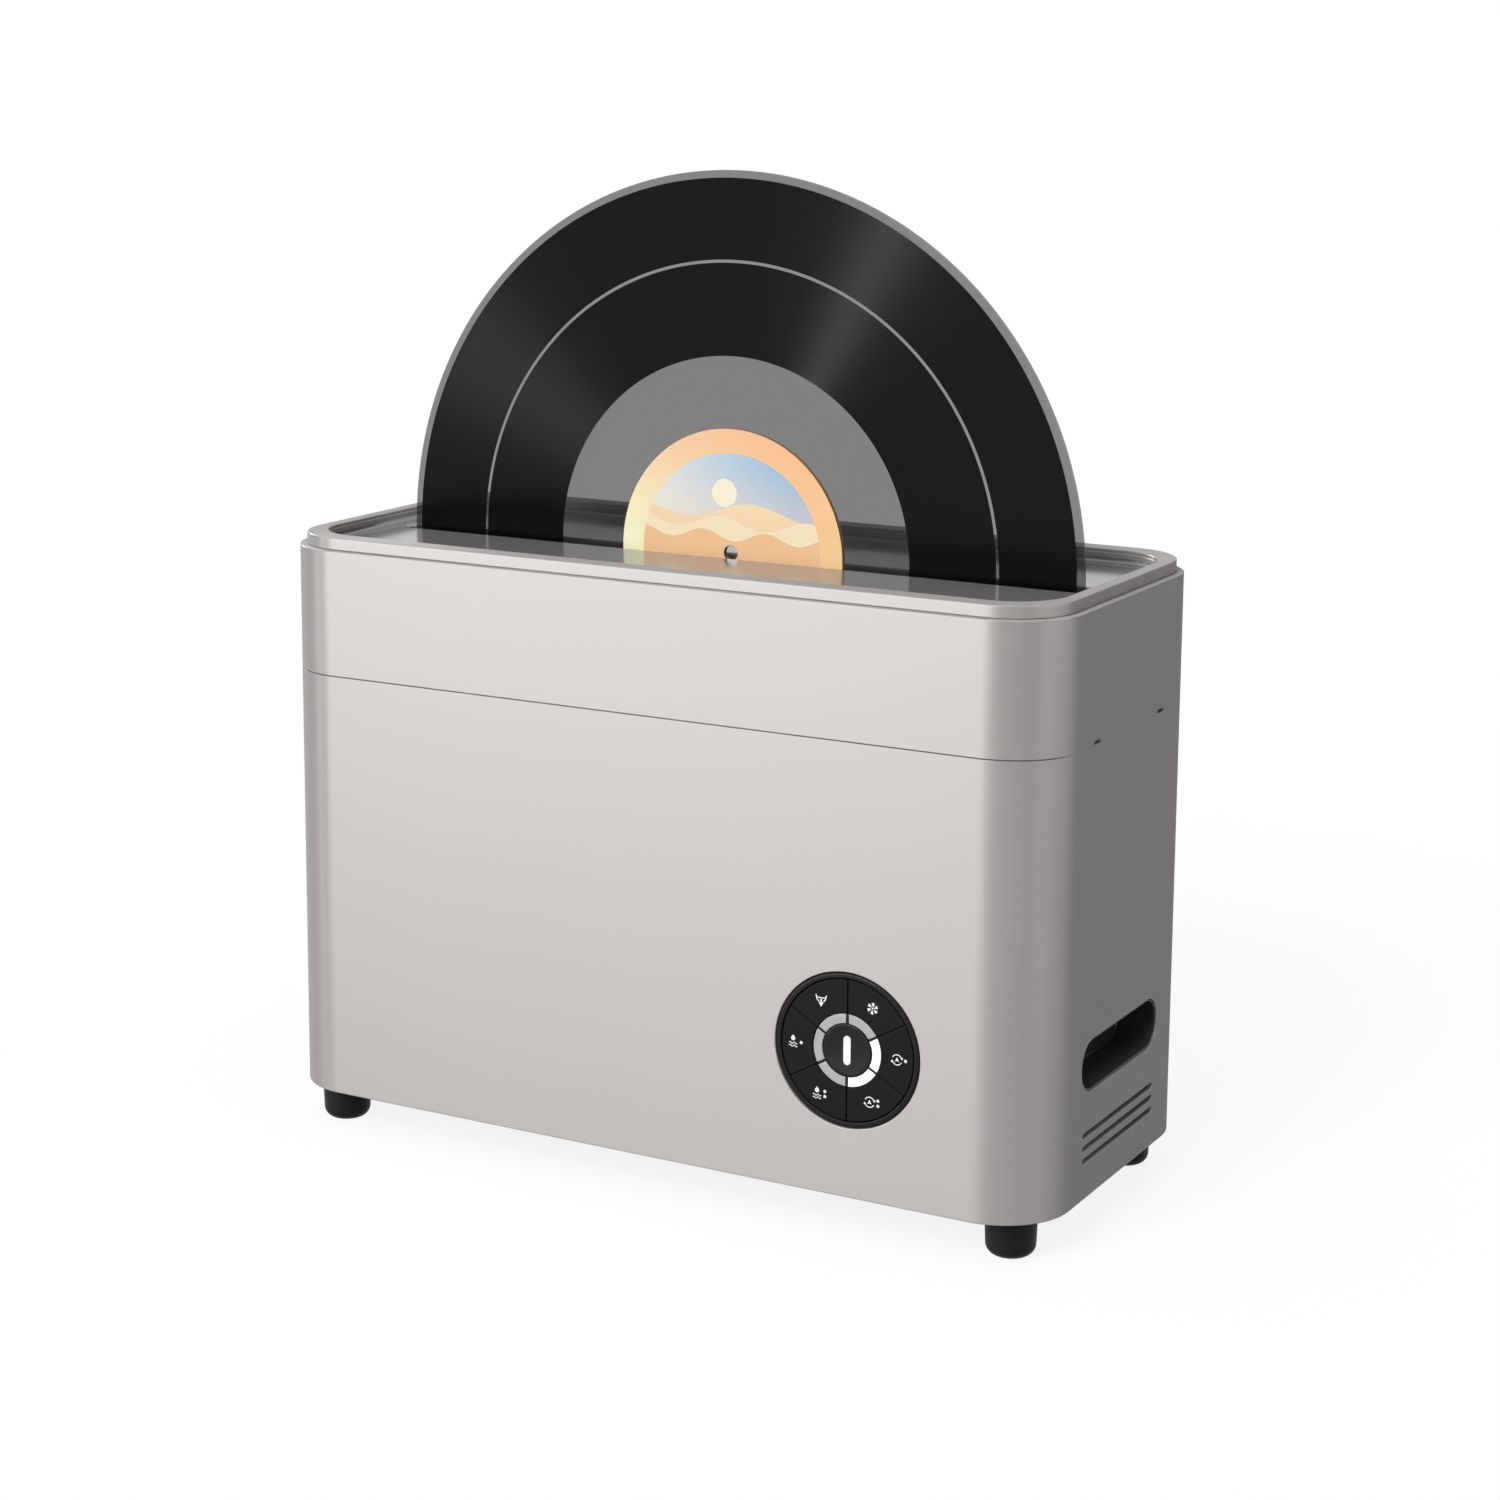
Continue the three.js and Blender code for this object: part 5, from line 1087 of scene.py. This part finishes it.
def drop_over_waves(x, z):
    outlines = [[(x, z + 2.35)] + arc(x, z + 0.95, 0.9, 150, 390, DROP_STEPS)]
    for low in (-0.9, -2.0):
        wave = [
            (
                x - WAVE_LENGTH / 2 + WAVE_LENGTH * step / WAVE_STEPS,
                z + low + WAVE_SWING * math.sin(HALF_WAVES * math.pi * step / WAVE_STEPS),
            )
            for step in range(WAVE_STEPS + 1)
        ]
        outlines.append(stroke(wave, WAVE_WIDTH))
    return outlines


def turning_arrow(x, z):
    outlines = [[(x - 0.85, z - 0.8), (x, z - 0.35), (x + 0.85, z - 0.8), (x, z + 1.0)]]
    bow = arc(0.0, 0.0, 1.95, 30, 155)
    tip = [(1.35, 1.1), (2.5, 1.05), (2.0, 0.1)]
    for half in (0, 180):
        outlines.append(stroke(turned(bow, x, z, half), BOW_WIDTH))
        outlines.append(turned(tip, x, z, half))
    return outlines


def drain_bowl(x, z):
    left = stroke([(x - 2.2, z + 2.2), (x - 1.75, z + 0.6), (x - 1.0, z - 0.35)], BOWL_WIDTH)
    rightwards = stroke([(x + 1.0, z - 0.35), (x + 1.75, z + 0.6), (x + 2.2, z + 2.2)], BOWL_WIDTH)
    water = stroke([(x - 1.5, z + 1.25), (x, z + 1.05), (x + 1.5, z + 1.25)], WATER_WIDTH)
    shaft = [(x - 0.35, z - 0.6), (x + 0.35, z - 0.6), (x + 0.35, z + 0.6), (x - 0.35, z + 0.6)]
    head = [(x - 1.05, z - 0.65), (x, z - 2.35), (x + 1.05, z - 0.65)]
    return [left, rightwards, water, shaft, head]


def fan(x, z):
    blade = [(0.5, 0.0), (1.0, 0.75), (1.65, 1.4), (2.1, 0.75), (2.1, 0.15), (1.3, 0.15)]
    blades = [turned(blade, x, z, degrees) for degrees in range(0, 360, 60)]
    return blades + [dot(x, z, HUB_RADIUS)]


# Each icon is its name, drawing, place, counting dots and the key that carries it
ICONS = (
    ("icon_drain", drain_bowl, (-11.0, 17.6), (), "drain_button"),
    ("icon_fan", fan, (10.4, 17.9), (), "dry_button"),
    ("icon_clean_1", drop_over_waves, (-22.6, 0.2), ((-19.2, -0.1),), "clean_1_button"),
    ("icon_auto_1", turning_arrow, (20.7, -0.1), ((24.2, -0.1),), "auto_1_button"),
    (
        "icon_clean_2",
        drop_over_waves,
        (-12.3, -18.4),
        ((-9.0, -17.5), (-9.0, -19.5)),
        "clean_2_button",
    ),
    (
        "icon_auto_2",
        turning_arrow,
        (9.65, -18.4),
        ((13.1, -17.4), (13.1, -19.4)),
        "auto_2_button",
    ),
)
for name, drawing, place, dots, body in ICONS:
    printed(name, drawing(*place) + [dot(x, z) for x, z in dots], body)
pill = rectangle(*PILL, steps=PILL_STEPS)
printed("power_mark", [pill], "power_button", DISH_DEPTH + UNDER_DISH)

# Record: bead, grooved bands with the gap between them, run-out land, and land under the label.
# The rows of a section are (radius, half the thickness there)
BEAD, BAND, GAP, LAND, HOLE_SIDE = 1.1, 1.0, 1.04, 1.06, 0.9
BEAD_SIDE, BEAD_CORNER, BEAD_CORNER_IN, BEAD_IN = 0.55, 0.88, 0.1, 0.38
RAMP, GAP_RAMP, HOLE_RAMP = 0.2, 0.15, 0.25
LABEL_UNDER, LABEL_SIDE, LABEL_FACE, LABEL_EDGE, LABEL_HOLE_EDGE = 1.05, 1.13, 1.18, 0.05, 0.1
front_side = [
    (RECORD_R, BEAD_SIDE),
    (RECORD_R - BEAD_CORNER_IN, BEAD_CORNER),
    (RECORD_R - BEAD_IN, BEAD),
    (GROOVES_OUTER, BEAD),
    (GROOVES_OUTER - RAMP, BAND),
    (GAP_OUTER + GAP_RAMP, BAND),
    (GAP_OUTER, GAP),
    (GAP_INNER, GAP),
    (GAP_INNER - GAP_RAMP, BAND),
    (GROOVES_INNER + RAMP, BAND),
    (GROOVES_INNER, LAND),
    (LABEL_R + RAMP, LAND),
    (LABEL_R - RAMP, BEAD),
    (HOLE_R + HOLE_RAMP, BEAD),
    (HOLE_R, HOLE_SIDE),
]
label_side = [
    (LABEL_R, LABEL_UNDER),
    (LABEL_R, LABEL_SIDE),
    (LABEL_R - LABEL_EDGE, LABEL_FACE),
    (HOLE_R + LABEL_HOLE_EDGE, LABEL_FACE),
    (HOLE_R, LABEL_UNDER),
]


def disc_rings(section, steps):
    """Rings round the record's axis for a section of (radius, out), out towards the front."""
    return [on_front(circle(r, steps), out, 0.0, RECORD_Z, 0.0) for r, out in section]


both_sides = front_side + [(r, -out) for r, out in front_side[::-1]]
piece(
    "record_pressing",
    loft(disc_rings(both_sides, RECORD_STEPS), closed=True),
    vinyl,
    "record",
    ["record_disc"],
    origin=(0, 0, RECORD_Z),
)
for side, name in ((1, "record_label_front"), (-1, "record_label_rear")):
    section = [(r, side * out) for r, out in label_side]
    piece(
        name + "_print",
        loft(disc_rings(section, LABEL_STEPS), closed=True),
        label_paper,
        "record",
        [name],
        origin=(0, 0, RECORD_Z),
    )

# Floor: white to the camera and to reflections, with the object's soft shadow on it. Its sizes
# and those of the lamps are in metres
FLOOR_HALF = 6.0
FLOOR_IN_LIGHT, FLOOR_SEEN = 0.22, 0.95
SHADOW_NEAR, SHADOW_FAR, SHADOW_SHARE = 0.25, 0.9, 0.13

floor_mesh = bpy.data.meshes.new("floor")
floor_mesh.from_pydata(
    [(x * FLOOR_HALF, y * FLOOR_HALF, 0) for x, y in ((-1, -1), (1, -1), (1, 1), (-1, 1))],
    [],
    [(0, 1, 2, 3)],
)
floor = bpy.data.objects.new("floor", floor_mesh)
bpy.context.scene.collection.objects.link(floor)


def background_ray(tree):
    """1 for a ray from the camera, from a reflection or through something clear."""
    rays = node(tree, "LightPath").outputs
    seen = math_node(tree, "MAXIMUM", rays["Is Camera Ray"], rays["Is Glossy Ray"])
    return math_node(tree, "MAXIMUM", seen, rays["Is Transmission Ray"])


def floor_material():
    """Plain white where it is seen, with a share of real shading only near the object."""
    material, tree, shader = new_material("floor")
    set_sockets(shader, Roughness=1.0, Specular_IOR_Level=0.0)
    seen = background_ray(tree)
    tint = mix_colours(tree, seen, grey(FLOOR_IN_LIGHT), grey(FLOOR_SEEN))
    tree.links.new(tint, shader.inputs["Base Color"])
    place = node(tree, "NewGeometry").outputs["Position"]
    distance = node(tree, "VectorMath", {0: place}, operation="LENGTH").outputs["Value"]
    limits = {"From Min": SHADOW_NEAR, "From Max": SHADOW_FAR, "To Min": SHADOW_SHARE, "To Max": 0.0}
    near = node(tree, "MapRange", {"Value": distance, **limits}, interpolation_type="SMOOTHSTEP")
    white = node(tree, "Emission", {"Color": WHITE, "Strength": 1.0}).outputs[0]
    shaded = shader.outputs[0]
    seen_floor = node(tree, "MixShader", {0: near.outputs["Result"], 1: white, 2: shaded})
    both = node(tree, "MixShader", {0: seen, 1: shaded, 2: seen_floor.outputs[0]})
    tree.links.new(both.outputs[0], tree.nodes["Material Output"].inputs["Surface"])
    return material


floor_mesh.materials.append(floor_material())

# World: white where it is seen, and dimmer as light on the object
AMBIENT = 0.27
world = bpy.data.worlds.new("world")
world.use_nodes = True
bpy.context.scene.world = world
world_tree = world.node_tree
backdrop = world_tree.nodes["Background"]
backdrop.inputs["Color"].default_value = WHITE
ambient_light = ranged(world_tree, background_ray(world_tree), AMBIENT, 1.0)
world_tree.links.new(ambient_light, backdrop.inputs["Strength"])

# Suns: name, strength, then azimuth, elevation and width in degrees, and whether a sun gives
# diffuse light. One that doesn't shows in reflections instead
SUNS = (
    ("key", 2.35, -8, 36, 30, True),
    ("top", 1.0, 0, 80, 60, True),
    ("sheen", 1.6, -10.6, 27, 2, False),
    ("low_sheen", 0.85, -62, 6, 12, False),
    ("back_sheen", 3.0, -116, 20, 14, False),
)
# Cards that show in reflections only: name, power, azimuth, width
CARDS = (("left_card", 32.0, -27, 0.9), ("right_card", 9.0, 96, 1.3))
SUN_DISTANCE, CARD_DISTANCE, CARD_ELEVATION, CARD_HEIGHT = 1.5, 1.2, 4, 1.1
LAMP_TARGET = (0, 0, 0.15)


def lamp(name, kind, energy, azimuth, elevation, distance, **settings):
    """A lamp that looks at the object: azimuth 0 is in front and 90 on the right, in degrees."""
    data = bpy.data.lights.new(name, kind)
    data.energy = energy
    for key, value in settings.items():
        setattr(data, key, value)
    thing = bpy.data.objects.new(name, data)
    bpy.context.scene.collection.objects.link(thing)
    a, e = math.radians(azimuth), math.radians(elevation)
    back = Vector((math.sin(a) * math.cos(e), -math.cos(a) * math.cos(e), math.sin(e)))
    thing.location = Vector(LAMP_TARGET) + back * distance
    thing.rotation_mode = "QUATERNION"
    thing.rotation_quaternion = back.to_track_quat("Z", "Y")
    return thing


def keep_off(light, *names):
    """Leaves some pieces out of what a lamp lights."""
    group = bpy.data.collections.new(light.name + "_leaves_out")
    for name in names:
        group.objects.link(bpy.data.objects[name])
    for entry in group.collection_objects:
        entry.light_linking.link_state = "EXCLUDE"
    light.light_linking.receiver_collection = group


lamps = {}
for name, strength, azimuth, elevation, width, diffuse in SUNS:
    sun = lamp(name, "SUN", strength, azimuth, elevation, SUN_DISTANCE, angle=math.radians(width))
    sun.visible_diffuse = diffuse
    sun.visible_glossy = not diffuse
    lamps[name] = sun
for name, power, azimuth, width in CARDS:
    shape = {"shape": "RECTANGLE", "size": width, "size_y": CARD_HEIGHT}
    card = lamp(name, "AREA", power, azimuth, CARD_ELEVATION, CARD_DISTANCE, **shape)
    card.visible_diffuse = False
    lamps[name] = card

labels = ("record_label_front_print", "record_label_rear_print")
keep_off(lamps["left_card"], "record_pressing", "tray_moulding", *labels)
keep_off(lamps["low_sheen"], "tray_moulding")
keep_off(lamps["back_sheen"], *labels)
